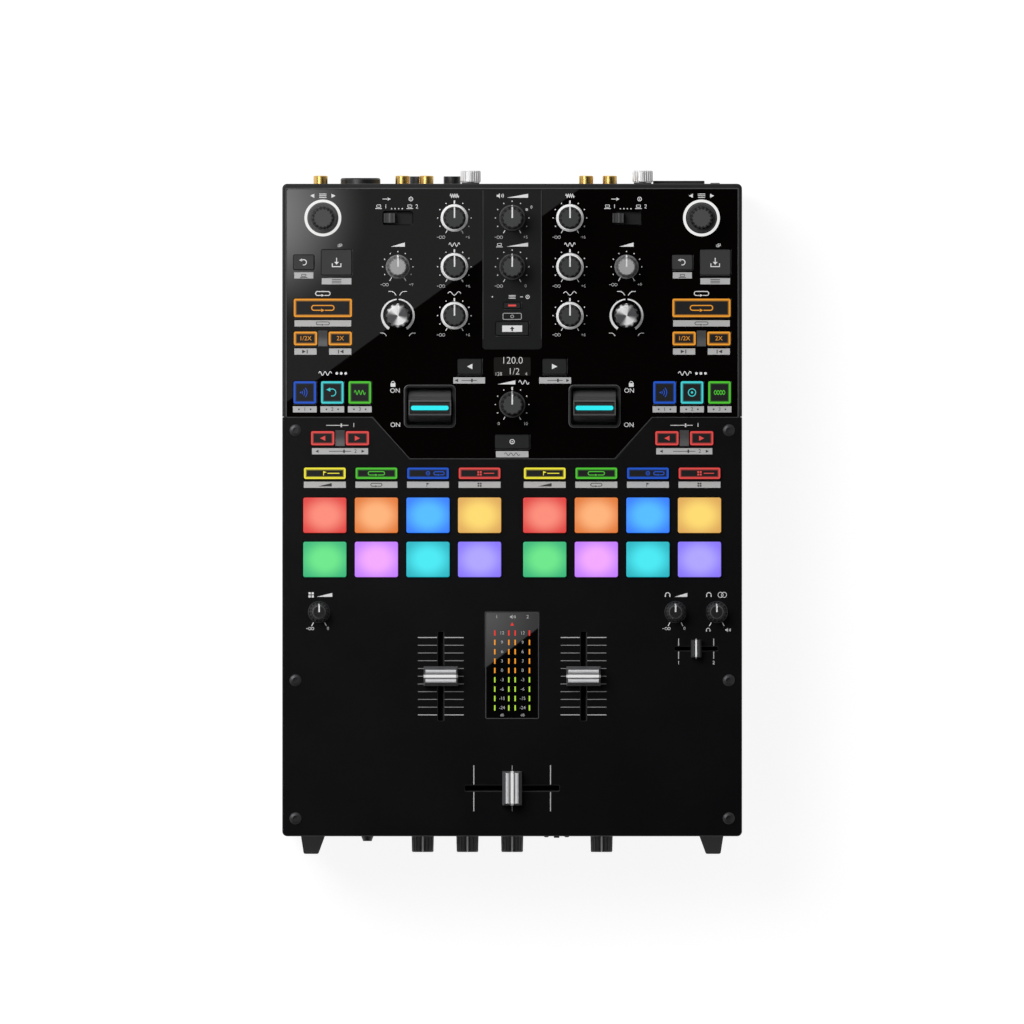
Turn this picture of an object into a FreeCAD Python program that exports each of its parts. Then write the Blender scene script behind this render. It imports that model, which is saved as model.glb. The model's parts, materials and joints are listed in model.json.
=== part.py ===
import FreeCAD, Part
import math
import os

# A two-channel performance mixer, in millimetres.
# +X is the user's right, +Y the rear, +Z up. The origin is on the table, under the middle of the mixer.

Vec = FreeCAD.Vector
sides = (-1, 1)

# Performance pads, which set the width of the case
pad_width = 25.1
pad_depth = 20.6
pad_gap_x = 4.9
pad_gap_y = 5.1
pad_field_gap = 12.8
pad_columns = 4
pad_rows = 2
pad_rise = 2.2
pad_corner = 1.2
pad_edge = 0.7
pad_sensor = 10.5
side_margin = 12.2

# Rows of controls, each given by its distance from the row before it
split_y = 55.3
effect_row_step = 14.3
half_row_step = 31.4
loop_row_step = 17.8
load_row_step = 26.5
top_row_step = 25.8
rear_margin = 19.9
eq_pitch = 28.4
centre_strip_step = 19.7
shift_row_step = 12.1
wake_row_step = 13.5
display_row_step = 29.4
paddle_row_step = 6.3
depth_knob_step = 1.0
parameter_row_step = 12.3
tap_row_step = 14.3
notch_depth = 24.45
mode_row_step = 32.7
pad_row_step = 24.4
small_knob_step = 30.6
fader_row_step = 67.9
meter_row_step = 61.7
cue_row_step = 21.3
crossfader_step = 65.2
front_margin = 27.9

# Columns of controls
deck_inset = 23.6
parameter_inset = 33.6
eq_column = 33.6
trim_column = 66.5
paddle_column = 47.9
fader_column = 41.5
centre_key_column = 24.7
back_offset = 11.1
load_offset = 8.0
pair_offset = 10.1
effect_keys = 3
effect_pitch = 16.0
effect_inset = 13.1
sampler_inset = 21.4
phones_inset = 38.7
phones_pitch = 24.0
notch_half_top = 81.4
notch_half_bottom = 60.0
centre_strip_width = 34.7

# Heights, walls and edges of the case
foot_height = 11.0
case_height = 79.0
tray_wall = 1.2
cover_wall = 1.5
plate_wall = 2.0
gloss_wall = 1.8
strip_wall = 1.6
rear_wall = 1.5
board_wall = 1.6
plate_overhang = 1.0
front_overhang = 1.2
rear_recess = 2.0
rim_side = 2.5
rim_rear = 3.0
rim_edge = 0.9
case_corner = 2.9
plate_edge = 0.4
plate_split_corner = 0.6
plate_notch_corner = 1.5
panel_corner = 1.0
strip_corner = 2.0
seam = 0.2

# Keys: sizes are (width, depth)
back_key = (11.9, 8.5)
load_key = (17.6, 14.7)
loop_key = (33.8, 10.7)
half_key = (13.5, 8.0)
effect_key = (13.1, 13.0)
parameter_key = (13.5, 8.2)
mode_key = (24.2, 6.6)
centre_key = (14.0, 8.9)
shift_key = (19.0, 8.0)
tap_key = (19.9, 8.2)
wake_key = (9.9, 3.7)
key_gap = 0.35
key_rise = 1.5
key_corner = 0.9
key_edge = 0.35
key_flange = 0.8
key_flange_wall = 1.0
key_travel = 0.8
key_stem = 4.0
seat_gap = 0.1
switch_width = 6.0
switch_height = 4.6
switch_button_radius = 1.7
switch_button_height = 1.2
divider_width = 5.4
divider_depth = 9.2
divider_rise = 1.2
divider_dip = 0.8
divider_scoop_radius = 12.0

# Turning controls
shaft_radius = 3.0
shaft_gap = 0.15
shaft_fit = 0.05
shaft_flat = 2.2
shaft_grip = 8.0
knob_lift = 0.5
pot_width = 11.0
pot_height = 6.0
front_pot_step = 2.8
bushing_radius = 3.8
bushing_gap = 0.2
knob_hole_radius = 5.0
pointer_width = 0.95
pointer_depth = 0.35
eq_collar_radius = 8.0
eq_collar_bevel = 0.6
eq_knob = {
    "skirt_radius": 6.5, "skirt_height": 1.8, "grip_radius": 6.0, "top_radius": 5.8, "height": 16.5,
    "edge": 0.3, "flutes": 12, "flute_radius": 1.1, "flute_depth": 0.75, "flute_stop": 0.0,
    "pointer_reach": 6.0}
level_knob = {
    "skirt_radius": 7.6, "skirt_height": 1.8, "grip_radius": 6.4, "top_radius": 6.0, "height": 16.5,
    "edge": 0.3, "flutes": 12, "flute_radius": 1.1, "flute_depth": 0.75, "flute_stop": 0.0,
    "pointer_reach": 6.4}
trim_knob = {
    "skirt_radius": 7.0, "skirt_height": 1.8, "grip_radius": 6.2, "top_radius": 5.0, "height": 15.0,
    "edge": 0.4, "flutes": 14, "flute_radius": 1.2, "flute_depth": 0.45, "flute_stop": 1.2,
    "pointer_reach": 6.2}
filter_knob = {
    "skirt_radius": 7.2, "skirt_height": 1.2, "grip_radius": 7.0, "top_radius": 6.4, "height": 16.0,
    "edge": 1.0, "flutes": 12, "flute_radius": 1.5, "flute_depth": 0.8, "flute_stop": 0.0,
    "pointer_reach": 7.0}
browse_knob = {
    "skirt_radius": 8.65, "skirt_height": 4.0, "grip_radius": 6.45, "top_radius": 6.1, "height": 17.4,
    "edge": 0.4, "flutes": 16, "flute_radius": 1.0, "flute_depth": 0.6, "flute_stop": 0.0,
    "pointer_reach": 0.0}
small_knob = {
    "skirt_radius": 6.4, "skirt_height": 1.2, "grip_radius": 5.7, "top_radius": 3.8, "height": 12.5,
    "edge": 0.4, "flutes": 16, "flute_radius": 0.8, "flute_depth": 0.4, "flute_stop": 2.5,
    "pointer_reach": 4.9}
front_knob = {
    "skirt_radius": 6.55, "skirt_height": 1.0, "grip_radius": 6.5, "top_radius": 6.3, "height": 9.9,
    "edge": 0.5, "flutes": 18, "flute_radius": 0.8, "flute_depth": 0.45, "flute_stop": 0.9,
    "pointer_reach": 6.5}
front_knob_pitch = 26.0

# Sliding controls
module_height = 10.0
module_wall = 1.0
board_gap = 0.6
slot_end_gap = 0.8
slot_edge = 0.3
stem_gap = 0.5
rod_gap = 0.15
carriage_gap = 0.5
carriage_height = 4.5
carriage_margin = 1.5
cap_lift = 2.0
channel_fader = {
    "travel": 45.0, "stem": 5.3, "stem_wall": 1.5, "unit_width": 12.0, "rod_radius": 0.9, "slot": 3.5,
    "cap_length": 19.9, "cap_depth": 11.4, "cap_height": 9.5, "wall_height": 2.4, "top_depth": 7.4,
    "ridge": 1.8, "valley": 0.7, "shoulder": 0.6, "end_slope": 1.1, "grip": 5.5}
crossfader = {**channel_fader, "stem": 8.4}
cue_fader = {
    "travel": 20.0, "stem": 3.5, "stem_wall": 1.0, "unit_width": 7.0, "rod_radius": 0.5, "slot": 2.5,
    "cap_length": 10.4, "cap_depth": 6.0, "cap_height": 6.5, "wall_height": 1.8, "top_depth": 4.0,
    "ridge": 1.2, "valley": 0.4, "shoulder": 0.4, "end_slope": 0.6, "grip": 3.8}
selector_window = (17.0, 7.6)
selector_corner = 1.2
selector_edge = 0.4
selector_travel = 9.8
selector_gap = 0.4
selector_side_gap = 1.1
selector_rise = 2.2
selector_body_margin = 1.5
selector_ribs = 4
selector_groove = 0.8

# Effect paddles
bezel_width = 30.2
bezel_depth = 25.0
bezel_corner = 3.0
bezel_rim_x = 2.3
bezel_rim_y = 2.0
bezel_rise = 0.8
bezel_edge = 0.5
bezel_wall = 1.4
bezel_slope = (0.9, 0.6)
bezel_slope_depth = 3.0
opening_corner = 1.0
paddle_gap = 0.5
pivot_drop = 10.0
pivot_radius = 1.5
pivot_gap = 0.1
drum_gap = 0.7
drum_foot_angle = 36.0
drum_low_angle = 94.0
ridge_width = 8.8
ridge_shift = -1.0
ridge_rise = 9.5
ridge_edge = 0.5
ridge_waist = 0.6
light_recess = (23.3, 7.2)
light_recess_depth = 1.4
light_bed = (22.4, 5.2)
light_bed_rise = 0.6
light_bar = (21.9, 2.6)
light_bar_corner = 1.2

# Windows
display_window = (21.7, 11.0)
display_back_margin = 2.8
display_back_depth = 3.2
meter_window = (31.8, 62.7)
meter_back_margin = 2.0
meter_back_depth = 8.0
meter_edge = 0.3
window_corner = 1.0
window_gap = 0.15

# Fasteners, feet and posts; the head values are shares of a screw's own radius or rise
screw_radius = 3.5
screw_rise = 1.3
screw_shank_radius = 1.5
screw_shank_gap = 0.15
screw_inset = 7.7
screw_rear_inset = 7.7
screw_middle_step = 2.4
screw_front_inset = 10.4
head_rim_rise = 0.3
head_shoulder_radius = 0.85
head_shoulder_rise = 0.72
head_crown_radius = 0.5
head_socket_radius = 0.42
rear_screw_radius = 2.8
rear_screw_inset = 5.0
foot_radius = 13.0
foot_taper = 3.0
foot_edge = 1.0
foot_recess_radius = 3.6
foot_recess_depth = 5.0
foot_inset_x = 25.2
foot_inset_y = 28.0
post_radius = 2.4
post_inset = 8.0
post_rear_step = 9.0
post_front_step = 6.0

# Front wall fittings
guard_reach = 10.25
guard_inset = 10.7
guard_root_width = 14.5
guard_tip_width = 8.5
guard_tip_shift = 1.8
guard_height = 54.0
guard_lift = 9.0
guard_slope = 7.0
guard_corner = 1.2
front_row_z = 50.0
large_jack_x = -100.0
small_jack_x = -84.2
small_jack_reach = 4.0
reverse_x = 25.85
reverse_screw_pitch = 11.9
reverse_screw_radius = 1.7
reverse_screw_rise = 1.8
reverse_shank_radius = 0.9
reverse_lever = (3.2, 2.6)
reverse_reach = 2.1
reverse_travel = 3.0
reverse_gap = 0.4
reverse_body = (15.9, 7.0, 6.0)

# Rear wall fittings
rca_columns = (-111.4, -63.8, -49.9, 43.0, 56.8)
rca_upper_z = 68.0
rca_pitch = 16.0
rca_radius = 4.15
rca_wall = 0.7
rca_reach = 6.7
rca_edge = 0.4
rca_flange_radius = 5.4
rca_flange_wall = 1.2
rca_back_depth = 4.5
rca_core_drop = 0.8
rca_contact_radius = 1.6
rca_contact_floor = 0.5
mic_x = -88.2
mic_z = 60.0
mic_barrel_radius = 11.6
mic_reach = 5.4
mic_edge = 0.8
mic_groove = (9.7, 7.9)
mic_groove_depth = 6.0
mic_hole_radius = 1.3
mic_hole_circle = 5.6
mic_hole_depth = 8.0
mic_body_depth = 22.0
line_out_columns = (-4.0, 23.5)
line_out_z = 60.0
xlr_flange = (26.0, 31.0)
xlr_flange_corner = 3.0
xlr_flange_wall = 1.8
xlr_body_radius = 11.0
xlr_cup_radius = 8.6
xlr_body_depth = 14.0
xlr_floor = 2.0
xlr_pin_circle = 5.0
xlr_pin_radius = 1.2
xlr_pin_inset = 1.5
xlr_pin_angles = (90, 210, 330)
booth_columns = (-54.6, -34.9)
booth_z = 30.0
phone_bore_radius = 3.2
phone_bushing_radius = 5.0
phone_nut_radius = 6.4
phone_nut_wall = 1.8
phone_reach = 6.3
phone_body_width = 13.0
phone_body_depth = 22.0
phone_floor = 2.0
bezel_ring_radius = 7.0
mini_bore_radius = 1.8
mini_bushing_radius = 2.6
mini_nose_radius = 2.5
mini_collar_radius = 3.6
mini_body_width = 8.0
mini_body_depth = 14.0
ground_columns = (-24.2, 75.9)
ground_z = 58.0
ground_nut_radius = 5.95
ground_nut_length = 7.0
ground_nut_cap = 1.5
ground_nut_edge = 0.6
ground_knurls = 28
ground_knurl_radius = 0.5
ground_knurl_depth = 0.25
ground_reach = 9.75
ground_collar_radius = 5.1
stud_radius = 2.0
usb_columns = (-8.0, 14.0)
usb_z = 28.0
usb_shell = (12.2, 11.0)
usb_shell_depth = 15.0
usb_reach = 0.6
usb_cavity = (8.6, 7.8)
usb_cavity_depth = 9.5
usb_corner_cut = 1.7
usb_tongue = (5.6, 3.2)
usb_tongue_inset = 0.8
inlet_x = 96.9
power_x = 118.0
power_row_z = 36.0
inlet_flange = (30.0, 23.0)
inlet_flange_corner = 1.5
inlet_cavity = (24.6, 16.8)
inlet_corner_cut = 4.0
inlet_wall = 1.2
inlet_floor = 2.0
inlet_reach = 3.7
inlet_depth = 17.0
inlet_blade = (2.0, 4.0)
inlet_blade_length = 14.0
inlet_blade_x = 7.0
inlet_blade_step = 2.0
power_frame = (10.0, 17.0)
power_frame_wall = 1.2
power_frame_rim = 1.8
power_body_wall = 1.0
power_body_depth = 12.0
power_reach = 2.6
power_swing = 12.0
rocker_gap = 0.7
rocker_axis_depth = 2.0
rocker_pin_radius = 0.8
rocker_dip = 1.3
rocker_root = 2.2
rocker_taper = 1.2

# Boards and power supply
control_board_margin = 5.0
control_board_rear_step = 13.0
control_board_front_step = 6.5
main_board_width = 170.0
main_board_depth = 120.0
main_board_x = -30.0
main_board_y = 60.0
main_board_lift = 6.0
standoff_radius = 3.0
standoff_inset = 6.0
chip_widths = (24.0, 18.0, 14.0)
chip_height = 2.0
chip_pitch = 42.0
can_radius = 5.0
can_height = 12.0
can_row_step = 36.0
supply_width = 54.0
supply_depth = 90.0
supply_wall_gap = 4.0
supply_rear_gap = 42.0
supply_base = 3.0
sink_fins = 5
sink_pitch = 5.0
sink_fin = (2.0, 36.0)
sink_height = 23.0
core_size = (26.0, 30.0)
core_corner = 2.0
core_height = 25.0
core_shift = 9.0
supply_can_radius = 7.0
supply_can_height = 27.0
supply_can_shift = 16.2
supply_can_pitch = 16.8

# Places that follow from the sizes above
pad_pitch_x = pad_width + pad_gap_x
pad_pitch_y = pad_depth + pad_gap_y
half_width = pad_field_gap / 2 + pad_columns * pad_pitch_x - pad_gap_x + side_margin
effect_row_y = split_y + effect_row_step
half_row_y = effect_row_y + half_row_step
loop_row_y = half_row_y + loop_row_step
load_row_y = loop_row_y + load_row_step
top_row_y = load_row_y + top_row_step
rear_edge_y = top_row_y + rear_margin
strip_front_y = top_row_y - 2 * eq_pitch - centre_strip_step
shift_row_y = strip_front_y + shift_row_step
wake_row_y = shift_row_y + wake_row_step
display_row_y = split_y + display_row_step
paddle_row_y = split_y + paddle_row_step
depth_knob_y = paddle_row_y + depth_knob_step
parameter_row_y = split_y - parameter_row_step
tap_row_y = split_y - tap_row_step
notch_y = split_y - notch_depth
mode_row_y = split_y - mode_row_step
first_pad_row_y = mode_row_y - pad_row_step
last_pad_row_y = first_pad_row_y - (pad_rows - 1) * pad_pitch_y
small_knob_y = last_pad_row_y - small_knob_step
fader_row_y = last_pad_row_y - fader_row_step
meter_row_y = last_pad_row_y - meter_row_step
cue_row_y = small_knob_y - cue_row_step
crossfader_y = fader_row_y - crossfader_step
front_edge_y = crossfader_y - front_margin
deck_x = half_width - deck_inset
phones_x = half_width - phones_inset
cue_x = phones_x + phones_pitch / 2
panel_top = foot_height + case_height
cover_top = panel_top - plate_wall
cover_bottom = cover_top - cover_wall
gloss_top = cover_top + gloss_wall
strip_top = cover_top + strip_wall
board_top = cover_bottom - module_height - board_gap
pot_top = board_top + pot_height
switch_top = board_top + switch_height
key_stem_bottom = switch_top + key_travel + seat_gap
rod_z = cover_bottom - module_height + module_wall + carriage_gap + carriage_height / 2
pivot_z = panel_top - pivot_drop
opening_width = bezel_width - 2 * bezel_rim_x
opening_depth = bezel_depth - 2 * bezel_rim_y
paddle_width = opening_width - 2 * paddle_gap
drum_radius = opening_depth / 2 - drum_gap
selector_low = cover_bottom - selector_gap
tray_half = half_width - plate_overhang
tray_floor_top = foot_height + tray_wall
front_wall_y = front_edge_y + front_overhang
rear_wall_y = rear_edge_y - rear_recess
rear_inner_y = rear_edge_y - rim_rear - seam
ground_seat = ground_reach - ground_nut_length
through_low = board_top
through_high = panel_top + pad_rise


# Basic forms

def block(x, y, width, depth, z_low, z_high):
    return Part.makeBox(width, depth, z_high - z_low, Vec(x - width / 2, y - depth / 2, z_low))


def disc(x, y, radius, z_low, z_high):
    return Part.makeCylinder(radius, z_high - z_low, Vec(x, y, z_low))


def cross_pin(radius, length):
    return Part.makeCylinder(radius, length, Vec(-length / 2, 0, 0), Vec(1, 0, 0))


def rounded_wire(corners, z):
    # corners are (x, y, radius); each corner with a radius becomes a tangent arc
    joints = []
    count = len(corners)
    for i, (x, y, radius) in enumerate(corners):
        here = Vec(x, y, z)
        to_before = (Vec(*corners[i - 1][:2], z) - here).normalize()
        to_after = (Vec(*corners[(i + 1) % count][:2], z) - here).normalize()
        half_angle = to_before.getAngle(to_after) / 2
        reach = radius / math.tan(half_angle)
        bisector = (to_before + to_after).normalize()
        middle = here + bisector * (radius / math.sin(half_angle) - radius)
        joints.append((here + to_before * reach, middle, here + to_after * reach, radius))
    edges = []
    for i, (start, middle, end, radius) in enumerate(joints):
        if radius > 0:
            edges.append(Part.Arc(start, middle, end).toShape())
        edges.append(Part.LineSegment(end, joints[(i + 1) % count][0]).toShape())
    return Part.Wire(edges)


def prism(corners, z_low, z_high):
    return Part.Face(rounded_wire(corners, z_low)).extrude(Vec(0, 0, z_high - z_low))


def rectangle(x, y, width, depth, radius):
    w, d = width / 2, depth / 2
    return [(x - w, y - d, radius), (x + w, y - d, radius), (x + w, y + d, radius), (x - w, y + d, radius)]


def round_block(x, y, width, depth, radius, z_low, z_high):
    return prism(rectangle(x, y, width, depth, radius), z_low, z_high)


def flare(x, y, size, radius, grow, z_low, z_high):
    # a rounded rectangle that widens upwards by grow, which is (x, y), on each side
    wide = (size[0] + 2 * grow[0], size[1] + 2 * grow[1])
    low = rounded_wire(rectangle(x, y, *size, radius), z_low)
    high = rounded_wire(rectangle(x, y, *wide, radius + min(grow)), z_high)
    return Part.makeLoft([low, high], True, True)


def turned(profile, x=0.0, y=0.0):
    # profile is a closed outline of (radius, height) points, turned about a vertical axis
    points = [Vec(x + radius, y, height) for radius, height in profile]
    face = Part.Face(Part.makePolygon(points + points[:1]))
    return face.revolve(Vec(x, y, 0), Vec(0, 0, 1), 360)


def extruded_across(outline, width):
    # outline is a closed list of (y, z) points, extruded along X about the middle
    points = [Vec(-width / 2, y, z) for y, z in outline]
    return Part.Face(Part.makePolygon(points + points[:1])).extrude(Vec(width, 0, 0))


def edges_at(shape, z):
    return [e for e in shape.Edges if all(abs(v.Z - z) < 1e-6 for v in e.Vertexes)]


def soften_top(shape, radius):
    return shape.makeFillet(radius, edges_at(shape, shape.BoundBox.ZMax))


def bevel_top(shape, size):
    return shape.makeChamfer(size, edges_at(shape, shape.BoundBox.ZMax))


def fuse(shapes):
    return shapes[0].multiFuse(shapes[1:]).removeSplitter()


def at_front(shape, x):
    # turns a form that stands on +Z so that it points out of the front wall, its own +Y up
    fitted = shape.copy()
    fitted.rotate(Vec(0, 0, 0), Vec(1, 0, 0), 90)
    fitted.translate(Vec(x, front_wall_y, front_row_z))
    return fitted


def at_rear(shape, x, z):
    # turns a form that stands on +Z so that it points out of the rear wall, its own +Y up
    fitted = shape.copy()
    fitted.rotate(Vec(0, 0, 0), Vec(0, 0, 1), 180)
    fitted.rotate(Vec(0, 0, 0), Vec(1, 0, 0), -90)
    fitted.translate(Vec(x, rear_wall_y, z))
    return fitted


# Where the keys and pads stand, as (x, y, width, depth)

def pad_column_places(side):
    first = pad_field_gap / 2 + pad_width / 2
    return [side * (first + i * pad_pitch_x) for i in range(pad_columns)]


def pair_places(middle, y, size):
    return [(middle + side * pair_offset, y, *size) for side in sides]


def deck_key_places(side):
    x = side * deck_x
    outer = half_width - effect_inset
    places = [
        (x - back_offset, load_row_y, *back_key),
        (x + load_offset, load_row_y, *load_key),
        (x, loop_row_y, *loop_key)]
    places += pair_places(x, half_row_y, half_key)
    places += [(side * (outer - i * effect_pitch), effect_row_y, *effect_key) for i in range(effect_keys)]
    places += pair_places(side * (half_width - parameter_inset), parameter_row_y, parameter_key)
    places += [(column, mode_row_y, *mode_key) for column in pad_column_places(side)]
    return places


def pad_places(side):
    rows = [first_pad_row_y - i * pad_pitch_y for i in range(pad_rows)]
    return [(x, y, pad_width, pad_depth) for y in rows for x in pad_column_places(side)]


def centre_key_places():
    return [
        (-centre_key_column, display_row_y, *centre_key), (centre_key_column, display_row_y, *centre_key),
        (0, shift_row_y, *shift_key), (0, wake_row_y, *wake_key), (0, tap_row_y, *tap_key)]


def divider_places():
    places = []
    for side in sides:
        places.append((side * deck_x, half_row_y))
        places.append((side * (half_width - parameter_inset), parameter_row_y))
    return places


# Where the turning controls stand, as name: (x, y, sizes)

def knob_places():
    places = {}
    for number, side in enumerate(sides, 1):
        for i, band in enumerate(("high", "mid", "low")):
            places[f"{band}_eq_knob_{number}"] = (side * eq_column, top_row_y - i * eq_pitch, eq_knob)
        places[f"trim_knob_{number}"] = (side * trim_column, top_row_y - eq_pitch, trim_knob)
        places[f"filter_knob_{number}"] = (side * trim_column, top_row_y - 2 * eq_pitch, filter_knob)
        places[f"browse_knob_{number}"] = (side * deck_x, top_row_y, browse_knob)
    places["master_level_knob"] = (0, top_row_y, level_knob)
    places["booth_level_knob"] = (0, top_row_y - eq_pitch, level_knob)
    places["effect_depth_knob"] = (0, depth_knob_y, level_knob)
    places["sampler_level_knob"] = (-(half_width - sampler_inset), small_knob_y, small_knob)
    places["headphone_level_knob"] = (phones_x, small_knob_y, small_knob)
    places["headphone_mix_knob"] = (phones_x + phones_pitch, small_knob_y, small_knob)
    return places


def front_knob_columns():
    return (-2 * front_knob_pitch, -front_knob_pitch, 0.0, 2 * front_knob_pitch)


# Keys and pads

def key(place, rise, corner, finish, edge):
    x, y, width, depth = place
    flange_top = cover_bottom - seat_gap
    flange_bottom = flange_top - key_flange_wall
    cap = finish(round_block(x, y, width, depth, corner, flange_top, panel_top + rise), edge)
    flange = block(x, y, width + 2 * key_flange, depth + 2 * key_flange, flange_bottom, flange_top)
    stem = block(x, y, key_stem, min(key_stem, depth), key_stem_bottom, flange_bottom)
    return fuse([cap, flange, stem])


def keys(places):
    return [key(place, key_rise, key_corner, bevel_top, key_edge) for place in places]


def pads(side):
    return [key(place, pad_rise, pad_corner, soften_top, pad_edge) for place in pad_places(side)]


def key_openings():
    places = centre_key_places()
    for side in sides:
        places += deck_key_places(side) + pad_places(side)
    openings = []
    for x, y, width, depth in places:
        size = (width + 2 * key_gap, depth + 2 * key_gap)
        openings.append(round_block(x, y, *size, key_corner + key_gap, through_low, through_high))
    return openings


# Knobs, each made standing on its base at the origin with its pointer towards +Y

def knob_body(sizes, inset=0.0):
    # inset gives the same form drawn in from the surface, for the floor of the pointer groove
    skirt, grip = sizes["skirt_radius"] - inset, sizes["grip_radius"] - inset
    top, edge = sizes["top_radius"] - inset, sizes["edge"]
    ledge, height = sizes["skirt_height"], sizes["height"] - inset
    return turned([
        (0, 0), (skirt, 0), (skirt, ledge - edge), (max(skirt - edge, grip), ledge), (grip, ledge),
        (top, height - edge), (top - edge, height), (0, height)])


def flutes(sizes):
    low, high = sizes["skirt_height"], sizes["height"] - sizes["flute_stop"]
    radius = sizes["flute_radius"]
    cutters = []
    for i in range(sizes["flutes"]):
        angle = 2 * math.pi * (i + 0.5) / sizes["flutes"]
        foot_reach = sizes["grip_radius"] + radius - sizes["flute_depth"]
        lean = sizes["top_radius"] - sizes["grip_radius"]
        out = Vec(math.sin(angle), math.cos(angle), 0)
        foot = out * foot_reach + Vec(0, 0, low)
        run = out * lean + Vec(0, 0, high - low)
        cutters.append(Part.makeCylinder(radius, run.Length, foot, run))
    return cutters


def pointer_groove(sizes):
    reach = sizes["pointer_reach"]
    slab = block(0, reach / 2, pointer_width, reach, sizes["skirt_height"], sizes["height"])
    return slab.cut(knob_body(sizes, pointer_depth))


def shaft_form(radius, z_low, z_high):
    # a round shaft whose upper end, inside the knob, has a flat
    shaft = disc(0, 0, radius, z_low, z_high)
    flat = block(0, -shaft_flat - radius, 2 * radius, 2 * radius, 0, z_high)
    return shaft.cut(flat)


def knob_cap(sizes):
    cutters = [shaft_form(shaft_radius + shaft_fit, 0, shaft_grip)] + flutes(sizes)
    if sizes["pointer_reach"]:
        cutters.append(pointer_groove(sizes))
    return knob_body(sizes).cut(cutters)


def eq_collar():
    inner, height = eq_knob["skirt_radius"] + shaft_fit, eq_knob["skirt_height"]
    bevel = eq_collar_bevel
    return turned([
        (inner, 0), (eq_collar_radius, 0), (eq_collar_radius, height - 2 * bevel),
        (eq_collar_radius - bevel, height - bevel / 2), (inner + bevel, height), (inner, height)])


def surface_at(x, y):
    # the height of the panel that a control at (x, y) stands on
    if abs(x) < centre_strip_width / 2 and y > strip_front_y:
        return strip_top
    return gloss_top if y > notch_y else panel_top


def knob_node(x, y, sizes):
    base = surface_at(x, y) + knob_lift
    solids = [knob_cap(sizes), shaft_form(shaft_radius, pot_top + shaft_gap - base, shaft_grip - shaft_gap)]
    if sizes is eq_knob:
        solids.append(eq_collar())
    for solid in solids:
        solid.translate(Vec(x, y, base))
    return solids


def front_knob_node(x):
    shaft_low = shaft_gap - knob_lift - tray_wall - front_pot_step
    solids = [knob_cap(front_knob), shaft_form(shaft_radius, shaft_low, shaft_grip - shaft_gap)]
    for solid in solids:
        solid.translate(Vec(0, 0, knob_lift))
    return [at_front(solid, x) for solid in solids]


def pot(x, y):
    body = block(x, y, pot_width, pot_width, board_top, pot_top)
    bushing = disc(x, y, bushing_radius, pot_top, cover_top - bushing_gap)
    return fuse([body, bushing]).cut(disc(x, y, shaft_radius + shaft_gap, pot_top, cover_top))


def front_pot(x):
    # behind the front wall, with its bushing through the wall
    back = -(tray_wall + front_pot_step)
    body = block(0, 0, pot_width, pot_width, back - pot_height, back)
    bushing = disc(0, 0, bushing_radius, back, -bushing_gap)
    return at_front(fuse([body, bushing]).cut(disc(0, 0, shaft_radius + shaft_gap, back, 0)), x)


def potentiometers():
    return [pot(x, y) for x, y, sizes in knob_places().values()] + [front_pot(x) for x in front_knob_columns()]


# Faders, made with their travel along X and their middle at the origin

fader_places = {
    "channel_fader_1": (-fader_column, fader_row_y, 90, channel_fader),
    "channel_fader_2": (fader_column, fader_row_y, 90, channel_fader),
    "crossfader": (0.0, crossfader_y, 0, crossfader),
    "cue_fader": (cue_x, cue_row_y, 0, cue_fader),
}


def placed(solids, x, y, angle):
    for solid in solids:
        solid.rotate(Vec(0, 0, 0), Vec(0, 0, 1), angle)
        solid.translate(Vec(x, y, 0))
    return solids


def slot_length(sizes):
    return sizes["travel"] + sizes["stem"] + 2 * slot_end_gap


def rods(sizes, length, radius):
    offset = sizes["unit_width"] / 4
    return [Part.makeCylinder(radius, length, Vec(-length / 2, side * offset, rod_z), Vec(1, 0, 0))
            for side in sides]


def fader_housing(sizes):
    low, high, width = cover_bottom - module_height, cover_bottom, sizes["unit_width"]
    inner = sizes["travel"] + sizes["stem"] + 2 * (carriage_margin + carriage_gap)
    shell = block(0, 0, inner + 2 * module_wall, width, low, high)
    hollow = block(0, 0, inner, width - 2 * module_wall, low + module_wall, high - module_wall)
    slot = block(0, 0, slot_length(sizes), sizes["stem_wall"] + 2 * stem_gap, high - module_wall, high)
    return [shell.cut([hollow, slot])] + rods(sizes, inner, sizes["rod_radius"])


def fader_carriage(sizes):
    low, high = rod_z - carriage_height / 2, rod_z + carriage_height / 2
    length = sizes["stem"] + 2 * carriage_margin
    body = block(0, 0, length, sizes["unit_width"] - 2 * (module_wall + carriage_gap), low, high)
    blade_top = panel_top + cap_lift + sizes["grip"] - seat_gap
    blade = block(0, 0, sizes["stem"], sizes["stem_wall"], high, blade_top)
    return fuse([body, blade]).cut(rods(sizes, length, sizes["rod_radius"] + rod_gap))


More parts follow.
